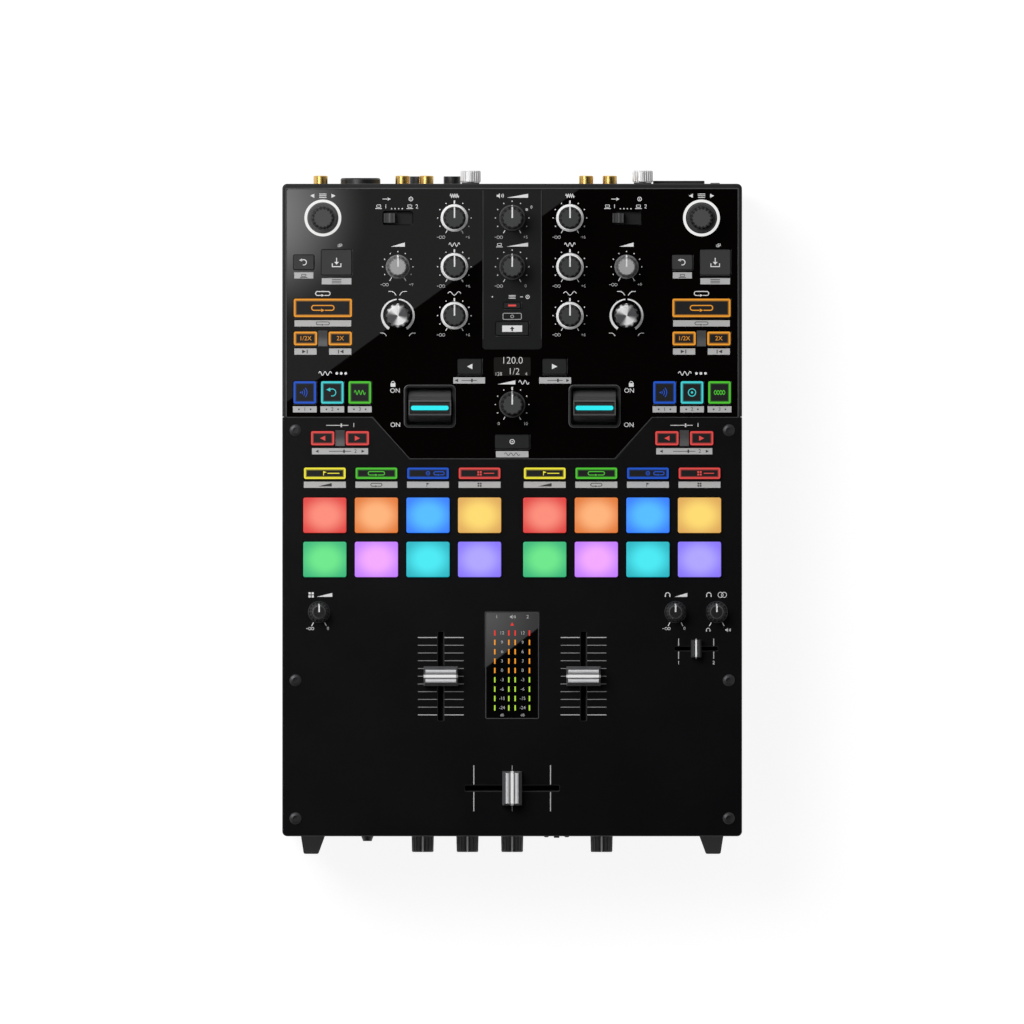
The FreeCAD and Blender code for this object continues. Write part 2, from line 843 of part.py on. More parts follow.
def fader_cap(sizes):
    # sloped sides, and a middle ridge between two shallow valleys along the top
    half, top, ridge = sizes["cap_depth"] / 2, sizes["top_depth"] / 2, sizes["ridge"] / 2
    height, wall, shoulder = sizes["cap_height"], sizes["wall_height"], sizes["shoulder"]
    dip = height - sizes["valley"]
    flank = [(half, 0), (half, wall), (top, height - shoulder), (top - shoulder, height),
             (top - 2 * shoulder, height), (ridge + shoulder, dip), (ridge, dip), (ridge, height)]
    outline = flank + [(-y, z) for y, z in reversed(flank)]
    body = extruded_across(outline, sizes["cap_length"])
    ends = []
    for side in sides:
        x = side * sizes["cap_length"] / 2
        slope = side * sizes["end_slope"]
        wedge = [Vec(x, -half, wall), Vec(x, -half, height), Vec(x - slope, -half, height)]
        ends.append(Part.Face(Part.makePolygon(wedge + wedge[:1])).extrude(Vec(0, 2 * half, 0)))
    cap = body.cut(ends)
    cap.rotate(Vec(0, 0, 0), Vec(0, 0, 1), 90)
    socket = block(0, 0, sizes["stem"] + 2 * shaft_fit, sizes["stem_wall"] + 2 * shaft_fit, 0, sizes["grip"])
    return cap.cut(socket)


def fader_node(x, y, angle, sizes):
    cap = fader_cap(sizes)
    cap.translate(Vec(0, 0, panel_top + cap_lift))
    return placed([fader_carriage(sizes), cap], x, y, angle)


def fader_openings():
    openings = []
    for x, y, angle, sizes in fader_places.values():
        slot = sizes["slot"]
        opening = round_block(0, 0, slot_length(sizes), slot, slot / 4, through_low, through_high)
        openings += placed([opening], x, y, angle)
    return openings


def slot_flares():
    # the edge round each slot, broken where it meets the top of the plate
    grow, low = (slot_edge, slot_edge), panel_top - slot_edge
    cutters = []
    for x, y, angle, sizes in fader_places.values():
        size = (slot_length(sizes), sizes["slot"])
        cutters += placed([flare(0, 0, size, sizes["slot"] / 4, grow, low, panel_top)], x, y, angle)
    return cutters


# Slide switches

def selector_body(side):
    width, depth = selector_window
    grow = 2 * selector_body_margin
    return block(side * trim_column, top_row_y, width + grow, depth + grow, board_top, selector_low)


def selector_lever(side):
    # stored at the left end of its window
    width = selector_window[0] - selector_travel - 2 * selector_gap
    depth = selector_window[1] - 2 * selector_side_gap
    x = side * trim_column - selector_travel / 2
    top = gloss_top + selector_rise
    lever = block(x, top_row_y, width, depth, selector_low + seat_gap, top)
    rib = width / (2 * selector_ribs - 1)
    first = x - width / 2 + rib / 2
    grooves = [block(first + (2 * i + 1) * rib, top_row_y, rib, depth, top - selector_groove, top)
               for i in range(selector_ribs - 1)]
    return [lever.cut(grooves)]


def selector_openings():
    size = (*selector_window, selector_corner)
    return [round_block(side * trim_column, top_row_y, *size, through_low, through_high) for side in sides]


def selector_flares():
    grow, low = (selector_edge, selector_edge), gloss_top - selector_edge
    return [flare(side * trim_column, top_row_y, selector_window, selector_corner, grow, low, gloss_top)
            for side in sides]


def reverse_switch_body():
    width, depth, height = reverse_body
    back = -(tray_wall + seat_gap)
    return at_front(block(0, 0, width, depth, back - height, back), reverse_x)


def reverse_switch_lever():
    return [at_front(block(0, 0, *reverse_lever, -tray_wall, reverse_reach), reverse_x)]


def reverse_opening():
    width, depth = reverse_lever
    grow = 2 * reverse_gap
    return at_front(block(0, 0, width + reverse_travel + grow, depth + grow, -2 * tray_wall, 0), reverse_x)


def slide_units():
    solids = []
    for x, y, angle, sizes in fader_places.values():
        solids += placed(fader_housing(sizes), x, y, angle)
    return solids + [selector_body(side) for side in sides] + [reverse_switch_body()]


# Effect paddles

def paddle_bezel(side):
    x, y = side * paddle_column, paddle_row_y
    rim_top = gloss_top + bezel_rise
    low = board_top + board_gap
    rim = soften_top(round_block(x, y, bezel_width, bezel_depth, bezel_corner, gloss_top, rim_top), bezel_edge)
    skirt_size = (opening_width + 2 * bezel_wall, opening_depth + 2 * bezel_wall)
    skirt = round_block(x, y, *skirt_size, opening_corner + bezel_wall, low, gloss_top)
    hollow = round_block(x, y, opening_width, opening_depth, opening_corner, low, rim_top)
    slope_low = rim_top - bezel_slope_depth
    slope = flare(x, y, (opening_width, opening_depth), opening_corner, bezel_slope, slope_low, rim_top)
    pin_hole = cross_pin(pivot_radius + pivot_gap, bezel_width)
    pin_hole.translate(Vec(x, y, pivot_z))
    return fuse([rim, skirt]).cut([hollow, slope, pin_hole])


def paddle_openings():
    grow = 2 * (bezel_wall + seam)
    return [round_block(side * paddle_column, paddle_row_y, opening_width + grow, opening_depth + grow,
                        opening_corner + bezel_wall, through_low, through_high) for side in sides]


def drum_point(angle):
    turn = math.radians(angle)
    return Vec(0, drum_radius * math.sin(turn), drum_radius * math.cos(turn))


def paddle_flank(side):
    # a drum below the panel and a flank that sweeps up to the crest, with the flank's two ends
    top, reach = pivot_drop + ridge_rise, ridge_shift + side * ridge_width / 2
    low, foot = drum_point(side * drum_low_angle), drum_point(side * drum_foot_angle)
    shoulder = drum_point(side * (drum_low_angle + drum_foot_angle) / 2)
    crest = Vec(0, reach, top - ridge_edge)
    crest_in = Vec(0, reach - side * ridge_edge, top)
    sweep = (foot + crest) / 2 - Vec(0, side * ridge_waist, 0)
    curves = [Part.Arc(low, shoulder, foot), Part.Arc(foot, sweep, crest), Part.LineSegment(crest, crest_in)]
    return [curve.toShape() for curve in curves], low, crest_in


def paddle_outline():
    front, front_low, front_top = paddle_flank(-1)
    rear, rear_low, rear_top = paddle_flank(1)
    top = Part.LineSegment(front_top, rear_top).toShape()
    bottom = Part.LineSegment(front_low, rear_low).toShape()
    return Part.Wire(Part.__sortEdges__(front + rear + [top, bottom]))


def paddle(side):
    body = Part.Face(paddle_outline()).extrude(Vec(paddle_width, 0, 0))
    body.translate(Vec(-paddle_width / 2, 0, 0))
    top = pivot_drop + ridge_rise
    floor = top - light_recess_depth
    bed_top = floor + light_bed_rise
    recess = block(0, ridge_shift, *light_recess, floor, top)
    bed = block(0, ridge_shift, *light_bed, floor, bed_top)
    lever = fuse([body.cut(recess), bed, cross_pin(pivot_radius, opening_width + 2 * bezel_wall)])
    light = round_block(0, ridge_shift, *light_bar, light_bar_corner, bed_top, top)
    for solid in (lever, light):
        solid.translate(Vec(side * paddle_column, paddle_row_y, pivot_z))
    return [lever, light]


# Case

def screw_places():
    x = half_width - screw_inset
    rows = (split_y - screw_rear_inset, fader_row_y - screw_middle_step, front_edge_y + screw_front_inset)
    return [(side * x, y) for y in rows for side in sides]


def post_places():
    x = half_width - post_inset
    front = last_pad_row_y - pad_depth / 2 - post_front_step
    rows = (top_row_y + post_rear_step, effect_row_y + half_row_step / 2, front)
    return [(side * x, y) for y in rows for side in sides] + [(0.0, (first_pad_row_y + last_pad_row_y) / 2)]


def knob_openings(radius):
    return [disc(x, y, radius, through_low, through_high) for x, y, sizes in knob_places().values()]


def window_openings():
    return [round_block(0, y, *size, window_corner, through_low, through_high)
            for y, size in ((display_row_y, display_window), (meter_row_y, meter_window))]


def panel_openings():
    return key_openings() + fader_openings() + selector_openings() + paddle_openings() + window_openings()


def screw_openings():
    radius = screw_shank_radius + screw_shank_gap
    return [disc(x, y, radius, through_low, through_high) for x, y in screw_places()]


def divider(x, y):
    # a rib with a dished top between the two keys of a pair
    rib = block(x, y, divider_width, divider_depth, cover_top, panel_top + divider_rise)
    scoop = cross_pin(divider_scoop_radius, divider_width)
    scoop.translate(Vec(x, y, panel_top + divider_rise - divider_dip + divider_scoop_radius))
    return rib.cut(scoop)


def divider_openings():
    size = (divider_width + 2 * seam, divider_depth + 2 * seam)
    return [block(x, y, *size, cover_top, through_high) for x, y in divider_places()]


def cover_rim():
    # the raised rim round the sides and rear of the upper panel
    w, front, rear = half_width, split_y + seam, rear_edge_y
    outer = prism([(-w, front, 0), (w, front, 0), (w, rear, case_corner), (-w, rear, case_corner)],
                  cover_bottom, panel_top)
    edges = [e for e in edges_at(outer, panel_top) if e.BoundBox.YMax > front + seam]
    outer = outer.makeFillet(rim_edge, edges)
    depth = rear - rim_rear - front
    return outer.cut(block(0, front + depth / 2, 2 * (w - rim_side), depth, cover_bottom, panel_top))


def top_cover(openings):
    depth = rear_wall_y - front_wall_y
    middle = (rear_wall_y + front_wall_y) / 2
    sheet = round_block(0, middle, 2 * tray_half, depth, case_corner - plate_overhang, cover_bottom, cover_top)
    posts = [disc(x, y, post_radius, board_top, cover_bottom) for x, y in post_places()]
    bare = fuse([sheet, cover_rim()] + posts)
    holed = bare.cut(openings + knob_openings(bushing_radius + bushing_gap) + screw_openings())
    return fuse([holed] + [divider(x, y) for x, y in divider_places()])


def strip_form(grow, z_low, z_high):
    depth = rear_inner_y - strip_front_y + grow
    middle = (rear_inner_y + strip_front_y) / 2
    return round_block(0, middle, centre_strip_width + grow, depth, strip_corner, z_low, z_high)


def upper_panel(openings):
    x, gap = half_width - rim_side - seam, 2 * seam
    front = split_y + gap
    corners = [
        (-x, front, 0), (-notch_half_top + gap, front, 0), (-notch_half_bottom + gap, notch_y + gap, 0),
        (notch_half_bottom - gap, notch_y + gap, 0), (notch_half_top - gap, front, 0), (x, front, 0),
        (x, rear_inner_y, panel_corner), (-x, rear_inner_y, panel_corner)]
    strip = strip_form(seam, cover_top, gloss_top)
    cutters = [strip] + openings + knob_openings(knob_hole_radius) + divider_openings() + selector_flares()
    return prism(corners, cover_top, gloss_top).cut(cutters)


def centre_panel(openings):
    return strip_form(-seam, cover_top, strip_top).cut(openings + knob_openings(knob_hole_radius))


def fader_plate(openings):
    x = half_width
    corners = [
        (-x, front_edge_y, case_corner), (x, front_edge_y, case_corner), (x, split_y, plate_split_corner),
        (notch_half_top, split_y, plate_notch_corner), (notch_half_bottom, notch_y, plate_notch_corner),
        (-notch_half_bottom, notch_y, plate_notch_corner), (-notch_half_top, split_y, plate_notch_corner),
        (-x, split_y, plate_split_corner)]
    sheet = prism(corners, cover_top, panel_top)
    sheet = sheet.makeChamfer(plate_edge, edges_at(sheet, panel_top))
    cutters = openings + knob_openings(knob_hole_radius) + divider_openings()
    return sheet.cut(cutters + screw_openings() + slot_flares())


def tray_openings():
    low, high = -2 * tray_wall, 0
    rounds = [(x, bushing_radius + bushing_gap) for x in front_knob_columns()]
    rounds.append((large_jack_x, phone_bushing_radius + bushing_gap))
    rounds.append((small_jack_x, mini_bushing_radius + bushing_gap))
    for side in sides:
        rounds.append((reverse_x + side * reverse_screw_pitch / 2, reverse_shank_radius + screw_shank_gap))
    return [at_front(disc(0, 0, radius, low, high), x) for x, radius in rounds] + [reverse_opening()]


def standoff_places():
    x, y = main_board_width / 2 - standoff_inset, main_board_depth / 2 - standoff_inset
    return [(main_board_x + sx * x, main_board_y + sy * y) for sx in sides for sy in sides]


def chassis_tray():
    w, front, rear = tray_half, front_wall_y, rear_wall_y
    corner = case_corner - plate_overhang
    corners = [(-w, front, corner), (w, front, corner), (w, rear, 0), (-w, rear, 0)]
    outer = prism(corners, foot_height, cover_bottom)
    depth = rear - front - tray_wall
    hollow = block(0, rear - depth / 2, 2 * (w - tray_wall), depth, tray_floor_top, cover_bottom)
    standoffs = [disc(x, y, standoff_radius, tray_floor_top, tray_floor_top + main_board_lift)
                 for x, y in standoff_places()]
    return fuse([outer.cut(hollow)] + standoffs).cut(tray_openings())


def rubber_feet():
    r, h = foot_radius, foot_height
    profile = [
        (0, foot_recess_depth), (foot_recess_radius, foot_recess_depth), (foot_recess_radius, 0),
        (r - foot_taper, 0), (r - foot_taper + foot_edge, foot_edge), (r, h), (0, h)]
    rows = (front_edge_y + foot_inset_y, rear_edge_y - foot_inset_y)
    return [turned(profile, side * (half_width - foot_inset_x), y) for side in sides for y in rows]


def knob_guard(side):
    # a tapered bumper that stands further out than the front knobs
    outer, tip = side * (half_width - guard_inset), front_edge_y - guard_reach
    low = foot_height + guard_lift
    high = low + guard_height
    corners = [
        (outer, front_wall_y, 0), (outer - side * guard_root_width, front_wall_y, 0),
        (outer - side * (guard_tip_shift + guard_tip_width), tip, guard_corner),
        (outer - side * guard_tip_shift, tip, guard_corner)]
    slopes = [extruded_across([(tip, end), (front_wall_y, end), (tip, end + step)], 2 * half_width)
              for end, step in ((low, guard_slope), (high, -guard_slope))]
    return prism(corners, low, high).cut(slopes)


def button_screw(radius, rise, shank_radius, shank_length):
    # a domed head with a hexagon socket
    shoulder = (radius * head_shoulder_radius, rise * head_shoulder_rise)
    crown = (radius * head_crown_radius, rise)
    head = turned([(0, 0), (radius, 0), (radius, rise * head_rim_rise), shoulder, crown, (0, rise)])
    socket_radius = radius * head_socket_radius
    hexagon = [(socket_radius * math.cos(i * math.pi / 3), socket_radius * math.sin(i * math.pi / 3), 0)
               for i in range(6)]
    shank = disc(0, 0, shank_radius, -shank_length, 0)
    return fuse([head, shank]).cut(prism(hexagon, rise / 3, rise))


def rear_screw_places():
    x = tray_half - tray_wall - rear_screw_inset
    rows = (tray_floor_top + rear_screw_inset, cover_bottom - rear_screw_inset)
    return [(side * x, z) for side in sides for z in rows]


def case_screws():
    plate_screw = button_screw(screw_radius, screw_rise, screw_shank_radius, plate_wall + cover_wall)
    switch_screw = button_screw(reverse_screw_radius, reverse_screw_rise, reverse_shank_radius, tray_wall)
    rear_screw = button_screw(rear_screw_radius, screw_rise, screw_shank_radius, rear_wall)
    solids = [plate_screw.translated(Vec(x, y, panel_top)) for x, y in screw_places()]
    solids += [at_front(switch_screw, reverse_x + side * reverse_screw_pitch / 2) for side in sides]
    return solids + [at_rear(rear_screw, x, z) for x, z in rear_screw_places()]


# Electronics inside the case

def control_board():
    rear, front = top_row_y + control_board_rear_step, small_knob_y - control_board_front_step
    width = 2 * (half_width - control_board_margin)
    solids = [block(0, (rear + front) / 2, width, rear - front, board_top - board_wall, board_top)]
    places = centre_key_places() + deck_key_places(-1) + deck_key_places(1)
    button_low = switch_top - switch_button_height
    for x, y, width, depth in places:
        solids.append(block(x, y, switch_width, min(switch_width, depth), board_top, button_low))
        solids.append(disc(x, y, switch_button_radius, button_low, switch_top))
    for x, y, width, depth in pad_places(-1) + pad_places(1):
        solids.append(block(x, y, pad_sensor, pad_sensor, board_top, switch_top))
    return fuse(solids)


def main_board():
    low = tray_floor_top + main_board_lift
    high = low + board_wall
    solids = [block(main_board_x, main_board_y, main_board_width, main_board_depth, low, high)]
    for i, width in enumerate(chip_widths):
        x = main_board_x + (i - 1) * chip_pitch
        solids.append(block(x, main_board_y, width, width, high, high + chip_height))
        solids.append(disc(x, main_board_y + can_row_step, can_radius, high, high + can_height))
    return fuse(solids)


def power_supply():
    x = tray_half - tray_wall - supply_wall_gap - supply_width / 2
    y = rear_wall_y - supply_rear_gap - supply_depth / 2
    low, high = tray_floor_top, tray_floor_top + supply_base
    rear_row, front_row = y + supply_depth / 4, y - supply_depth / 4
    core_top, can_top = high + core_height, high + supply_can_height
    solids = [block(x, y, supply_width, supply_depth, low, high)]
    solids.append(round_block(x + core_shift, front_row, *core_size, core_corner, high, core_top))
    for i in range(sink_fins):
        fin_x = x - supply_width / 2 + (i + 1) * sink_pitch
        solids.append(block(fin_x, rear_row, *sink_fin, high, high + sink_height))
    for side in sides:
        can_y = front_row + side * supply_can_pitch / 2
        solids.append(disc(x - supply_can_shift, can_y, supply_can_radius, high, can_top))
    return fuse(solids)


def display_module():
    width, depth = display_window
    glass = round_block(0, display_row_y, width - 2 * window_gap, depth - 2 * window_gap,
                        window_corner, cover_bottom, gloss_top - window_gap)
    grow = 2 * display_back_margin
    back = block(0, display_row_y, width + grow, depth + grow, cover_bottom - display_back_depth, cover_bottom)
    return fuse([glass, back])


def level_meter():
    width, depth = meter_window
    window = round_block(0, meter_row_y, width - 2 * window_gap, depth - 2 * window_gap,
                         window_corner, cover_bottom, panel_top + window_gap)
    back_low, back_width = cover_bottom - meter_back_depth, width + 2 * meter_back_margin
    back = block(0, meter_row_y, back_width, depth, back_low, cover_bottom)
    return fuse([soften_top(window, meter_edge), back])


# Sockets, each made standing on +Z with its wall at zero

def rca_jack():
    r, reach, edge = rca_radius, rca_reach, rca_edge
    inner, neck = r - rca_wall, r - bushing_gap
    shell = turned([
        (inner, -rca_back_depth), (rca_flange_radius, -rca_back_depth), (rca_flange_radius, -rear_wall),
        (neck, -rear_wall), (neck, 0), (rca_flange_radius, 0), (rca_flange_radius, rca_flange_wall),
        (r, rca_flange_wall), (r, reach - edge), (r - edge, reach), (inner, reach)])
    plug, face = inner - shaft_fit, reach - rca_core_drop
    core = turned([
        (0, -rca_back_depth), (plug, -rca_back_depth), (plug, face), (rca_contact_radius, face),
        (rca_contact_radius, rca_contact_floor), (0, rca_contact_floor)])
    return [shell, core]


def rca_places():
    return [(x, rca_upper_z - row * rca_pitch) for x in rca_columns for row in range(2)]


def rca_jacks():
    return [at_rear(solid, x, z) for x, z in rca_places() for solid in rca_jack()]


def phone_jack(wall, reach, nut_radius, nut_wall, nose_radius):
    back = -wall - seat_gap
    low = back - phone_body_depth
    body = block(0, 0, phone_body_width, phone_body_width, low, back)
    neck = disc(0, 0, phone_bushing_radius, back, 0)
    nut = turned([
        (0, 0), (nut_radius, 0), (nut_radius, nut_wall),
        (nose_radius, nut_wall), (nose_radius, reach), (0, reach)])
    return fuse([body, neck, nut]).cut(disc(0, 0, phone_bore_radius, low + phone_floor, reach))


def mini_jack():
    back = -tray_wall - seat_gap
    low = back - mini_body_depth
    body = block(0, 0, mini_body_width, mini_body_width, low, back)
    neck = disc(0, 0, mini_bushing_radius, back, 0)
    nose = turned([(0, 0), (mini_collar_radius, 0), (mini_collar_radius, front_overhang),
                   (mini_nose_radius, small_jack_reach), (0, small_jack_reach)])
    return fuse([body, neck, nose]).cut(disc(0, 0, mini_bore_radius, low + phone_floor, small_jack_reach))


def phone_jacks():
    booth = phone_jack(rear_wall, phone_reach, phone_nut_radius, phone_nut_wall, phone_bushing_radius)
    ring_reach = front_overhang - seam
    phones = phone_jack(tray_wall, ring_reach, bezel_ring_radius, ring_reach / 2, phone_nut_radius)
    solids = [at_rear(booth, x, booth_z) for x in booth_columns]
    return solids + [at_front(phones, large_jack_x), at_front(mini_jack(), small_jack_x)]


def round_pattern(circle, radius, z_low, z_high):
    turns = [math.radians(angle) for angle in xlr_pin_angles]
    return [disc(circle * math.cos(turn), circle * math.sin(turn), radius, z_low, z_high) for turn in turns]


def xlr_flange_form():
    return round_block(0, 0, *xlr_flange, xlr_flange_corner, 0, xlr_flange_wall)


def line_out_socket():
    # a plate flange round a deep cup with three contact pins
    floor = xlr_floor - xlr_body_depth
    body = disc(0, 0, xlr_body_radius, -xlr_body_depth, 0)
    cup = fuse([xlr_flange_form(), body]).cut(disc(0, 0, xlr_cup_radius, floor, xlr_flange_wall))
    return fuse([cup] + round_pattern(xlr_pin_circle, xlr_pin_radius, floor, -xlr_pin_inset))


def mic_socket():
    # a combined socket: a barrel with three contact holes round a bore for a large phone plug
    r, reach = mic_barrel_radius, mic_reach
    barrel = turned([(0, 0), (r, 0), (r, reach - mic_edge), (r - mic_edge, reach), (0, reach)])
    body = disc(0, 0, xlr_body_radius, -mic_body_depth, 0)
    outer, inner = mic_groove
    groove = disc(0, 0, outer, -mic_groove_depth, reach).cut(disc(0, 0, inner, -mic_groove_depth, reach))
    bore = disc(0, 0, phone_bore_radius, xlr_floor - mic_body_depth, reach)
    holes = round_pattern(mic_hole_circle, mic_hole_radius, -mic_hole_depth, reach)
    return fuse([xlr_flange_form(), barrel, body]).cut([groove, bore] + holes)


def xlr_sockets():
    outs = line_out_socket()
    return [at_rear(outs, x, line_out_z) for x in line_out_columns] + [at_rear(mic_socket(), mic_x, mic_z)]


def cut_corner_form(size, corner_cut, z_low, z_high):
    # a rectangle whose two upper corners are cut off
    w, h = size[0] / 2, size[1] / 2
    side_top, top_end = h - corner_cut, w - corner_cut
    corners = [(-w, -h), (w, -h), (w, side_top), (top_end, h), (-top_end, h), (-w, side_top)]
    return prism([(x, y, 0) for x, y in corners], z_low, z_high)


def usb_port():
    shell = block(0, 0, *usb_shell, -usb_shell_depth, usb_reach)
    cavity = cut_corner_form(usb_cavity, usb_corner_cut, -usb_cavity_depth, usb_reach)
    tongue = block(0, 0, *usb_tongue, -usb_cavity_depth, -usb_tongue_inset)
    return fuse([shell.cut(cavity), tongue])


def inlet_body():
    width, height = inlet_cavity
    low = inlet_reach - inlet_depth
    flange = round_block(0, 0, *inlet_flange, inlet_flange_corner, 0, inlet_reach)
    back = block(0, 0, width + 2 * inlet_wall, height + 2 * inlet_wall, low - inlet_floor, 0)
    cavity = cut_corner_form(inlet_cavity, inlet_corner_cut, low, inlet_reach)
    step = inlet_blade_step
    blade_places = ((-inlet_blade_x, -step), (inlet_blade_x, -step), (0.0, step))
    blades = [block(x, y, *inlet_blade, low, low + inlet_blade_length) for x, y in blade_places]
    return fuse([fuse([flange, back]).cut(cavity)] + blades)


def power_housing():
    width, height = power_frame
    frame = block(0, 0, width, height, 0, power_frame_wall)
    back = block(0, 0, width - 2 * power_body_wall, height - 2 * power_body_wall, -power_body_depth, 0)
    rim = 2 * power_frame_rim
    hollow = block(0, 0, width - rim, height - rim, power_body_wall - power_body_depth, power_frame_wall)
    pin_hole = cross_pin(rocker_pin_radius + pivot_gap, width)
    pin_hole.translate(Vec(0, 0, -rocker_axis_depth))
    return fuse([frame, back]).cut([hollow, pin_hole])


def power_rocker():
    # a two-faced rocker on a cross pin, stored with one end pressed in
    width = power_frame[0] - 2 * power_frame_rim - 2 * paddle_gap
    reach = power_frame[1] / 2 - power_frame_rim - rocker_gap
    rise, root = power_reach + rocker_axis_depth, reach - rocker_taper
    outline = [(-reach, rise - rocker_dip / 2), (0, rise - rocker_dip), (reach, rise - rocker_dip / 2),
               (root, -rocker_taper), (0, -rocker_root), (-root, -rocker_taper)]
    pin = cross_pin(rocker_pin_radius, power_frame[0] - 2 * power_body_wall)
    rocker = fuse([extruded_across(outline, width), pin])
    rocker.rotate(Vec(0, 0, 0), Vec(1, 0, 0), -power_swing / 2)
    rocker.translate(Vec(0, 0, -rocker_axis_depth))
    return [at_rear(rocker, power_x, power_row_z)]


def ac_inlet():
    return [at_rear(inlet_body(), inlet_x, power_row_z), at_rear(power_housing(), power_x, power_row_z)]


def ground_nut():
    r, low, high, edge = ground_nut_radius, ground_seat, ground_reach, ground_nut_edge
    body = turned([(0, low), (r - edge, low), (r, low + edge), (r, high - edge), (r - edge, high), (0, high)])
    reach = r + ground_knurl_radius - ground_knurl_depth
    cutters = [disc(0, 0, stud_radius + shaft_gap, low, high - ground_nut_cap)]
    for i in range(ground_knurls):
        turn = 2 * math.pi * i / ground_knurls
        cutters.append(disc(reach * math.cos(turn), reach * math.sin(turn), ground_knurl_radius, low, high))
    return body.cut(cutters)


def ground_stud():
    collar = disc(0, 0, ground_collar_radius, 0, ground_seat - seat_gap)
    return fuse([collar, disc(0, 0, stud_radius, 0, ground_reach - ground_nut_cap - seat_gap)])


def rear_openings():
    low, high = -2 * rear_wall, 0
    rounds = [(x, z, rca_radius) for x, z in rca_places()]
    rounds += [(x, booth_z, phone_bushing_radius + bushing_gap) for x in booth_columns]
    rounds += [(x, line_out_z, xlr_body_radius + bushing_gap) for x in line_out_columns]
    rounds += [(mic_x, mic_z, xlr_body_radius + bushing_gap)]
    rounds += [(x, z, screw_shank_radius + screw_shank_gap) for x, z in rear_screw_places()]
    width, height = inlet_cavity
    wall = 2 * inlet_wall
    boxes = [(x, usb_z, *usb_shell) for x in usb_columns]
    boxes += [(inlet_x, power_row_z, width + wall, height + wall)]
    body = 2 * power_body_wall
    boxes += [(power_x, power_row_z, power_frame[0] - body, power_frame[1] - body)]
    holes = [at_rear(disc(0, 0, radius, low, high), x, z) for x, z, radius in rounds]
    return holes + [at_rear(block(0, 0, w + 2 * seam, h + 2 * seam, low, high), x, z) for x, z, w, h in boxes]


def rear_panel():
    width = 2 * (tray_half - tray_wall - seam)
    sheet = block(0, rear_wall_y - rear_wall / 2, width, rear_wall, tray_floor_top, cover_bottom)
    studs = [at_rear(ground_stud(), x, ground_z) for x in ground_columns]
    return fuse([sheet.cut(rear_openings())] + studs)


# All the pieces

def build_nodes():
    openings = panel_openings()
    nodes = {
        "chassis_tray": [chassis_tray()], "rear_panel": [rear_panel()], "top_cover": [top_cover(openings)],
        "upper_panel": [upper_panel(openings)], "centre_panel": [centre_panel(openings)],
        "fader_plate": [fader_plate(openings)], "case_screws": case_screws(), "rubber_feet": rubber_feet(),
        "knob_guards": [knob_guard(side) for side in sides],
        "paddle_bezels": [paddle_bezel(side) for side in sides],
        "display_module": [display_module()], "level_meter": [level_meter()],
        "control_board": [control_board()], "main_board": [main_board()], "power_supply": [power_supply()],
        "potentiometers": potentiometers(), "slide_units": slide_units(), "rca_jacks": rca_jacks(),
        "xlr_sockets": xlr_sockets(), "phone_jacks": phone_jacks(),
        "usb_ports": [at_rear(usb_port(), x, usb_z) for x in usb_columns], "ac_inlet": ac_inlet(),
        "reverse_switch": reverse_switch_lever(), "power_switch": power_rocker(),
        "ground_nuts": [at_rear(ground_nut(), x, ground_z) for x in ground_columns],
        "centre_keys": keys(centre_key_places()),
    }
    for name, place in knob_places().items():
        nodes[name] = knob_node(*place)
    for name, place in fader_places.items():
        nodes[name] = fader_node(*place)
    for number, x in enumerate(front_knob_columns(), 1):
        nodes[f"front_knob_{number}"] = front_knob_node(x)
    for number, side in enumerate(sides, 1):
        nodes[f"effect_paddle_{number}"] = paddle(side)
        nodes[f"input_switch_{number}"] = selector_lever(side)
        nodes[f"pads_{number}"] = pads(side)
        nodes[f"deck_keys_{number}"] = keys(deck_key_places(side))
    return nodes


def export(nodes):
    os.makedirs("parts", exist_ok=True)
    for name, shapes in nodes.items():
        solids = [solid for shape in shapes for solid in shape.Solids]
        Part.Compound(solids).exportStep(f"parts/{name}.step")


export(build_nodes())
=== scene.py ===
import json
import math
import bpy
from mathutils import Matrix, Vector

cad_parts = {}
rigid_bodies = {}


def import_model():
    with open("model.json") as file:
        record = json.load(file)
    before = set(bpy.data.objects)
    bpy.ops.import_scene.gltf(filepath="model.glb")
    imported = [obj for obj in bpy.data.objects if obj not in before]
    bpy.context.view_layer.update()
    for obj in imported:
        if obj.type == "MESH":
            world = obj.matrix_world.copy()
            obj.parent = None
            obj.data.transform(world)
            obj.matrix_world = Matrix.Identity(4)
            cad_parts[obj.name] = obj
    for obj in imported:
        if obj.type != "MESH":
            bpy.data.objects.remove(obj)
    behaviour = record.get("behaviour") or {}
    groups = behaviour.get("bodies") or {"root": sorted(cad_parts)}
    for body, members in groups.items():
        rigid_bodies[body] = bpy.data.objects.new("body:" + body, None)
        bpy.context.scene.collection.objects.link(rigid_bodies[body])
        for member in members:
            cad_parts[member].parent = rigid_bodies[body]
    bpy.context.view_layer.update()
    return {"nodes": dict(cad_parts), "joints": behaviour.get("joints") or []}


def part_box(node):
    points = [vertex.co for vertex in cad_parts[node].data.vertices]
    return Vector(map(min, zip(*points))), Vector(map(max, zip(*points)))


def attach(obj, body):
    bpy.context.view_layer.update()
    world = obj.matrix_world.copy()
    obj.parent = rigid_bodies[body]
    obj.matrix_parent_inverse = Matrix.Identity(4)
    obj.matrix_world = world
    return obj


for leftover in list(bpy.data.objects):
    bpy.data.objects.remove(leftover)
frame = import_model()
nodes = frame["nodes"]
mm = 0.001
sides = (1, 2)  # left and right deck


# reading the frame, in millimetres

def boxOf(node):
    low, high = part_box(node)
    return low / mm, high / mm


def middleOf(node):
    low, high = boxOf(node)
    return (low + high) / 2


def spanOf(points):
    return (Vector([min(p[axis] for p in points) for axis in range(3)]),
            Vector([max(p[axis] for p in points) for axis in range(3)]))


def pointsOf(node):
    return [v.co / mm for v in nodes[node].data.vertices]


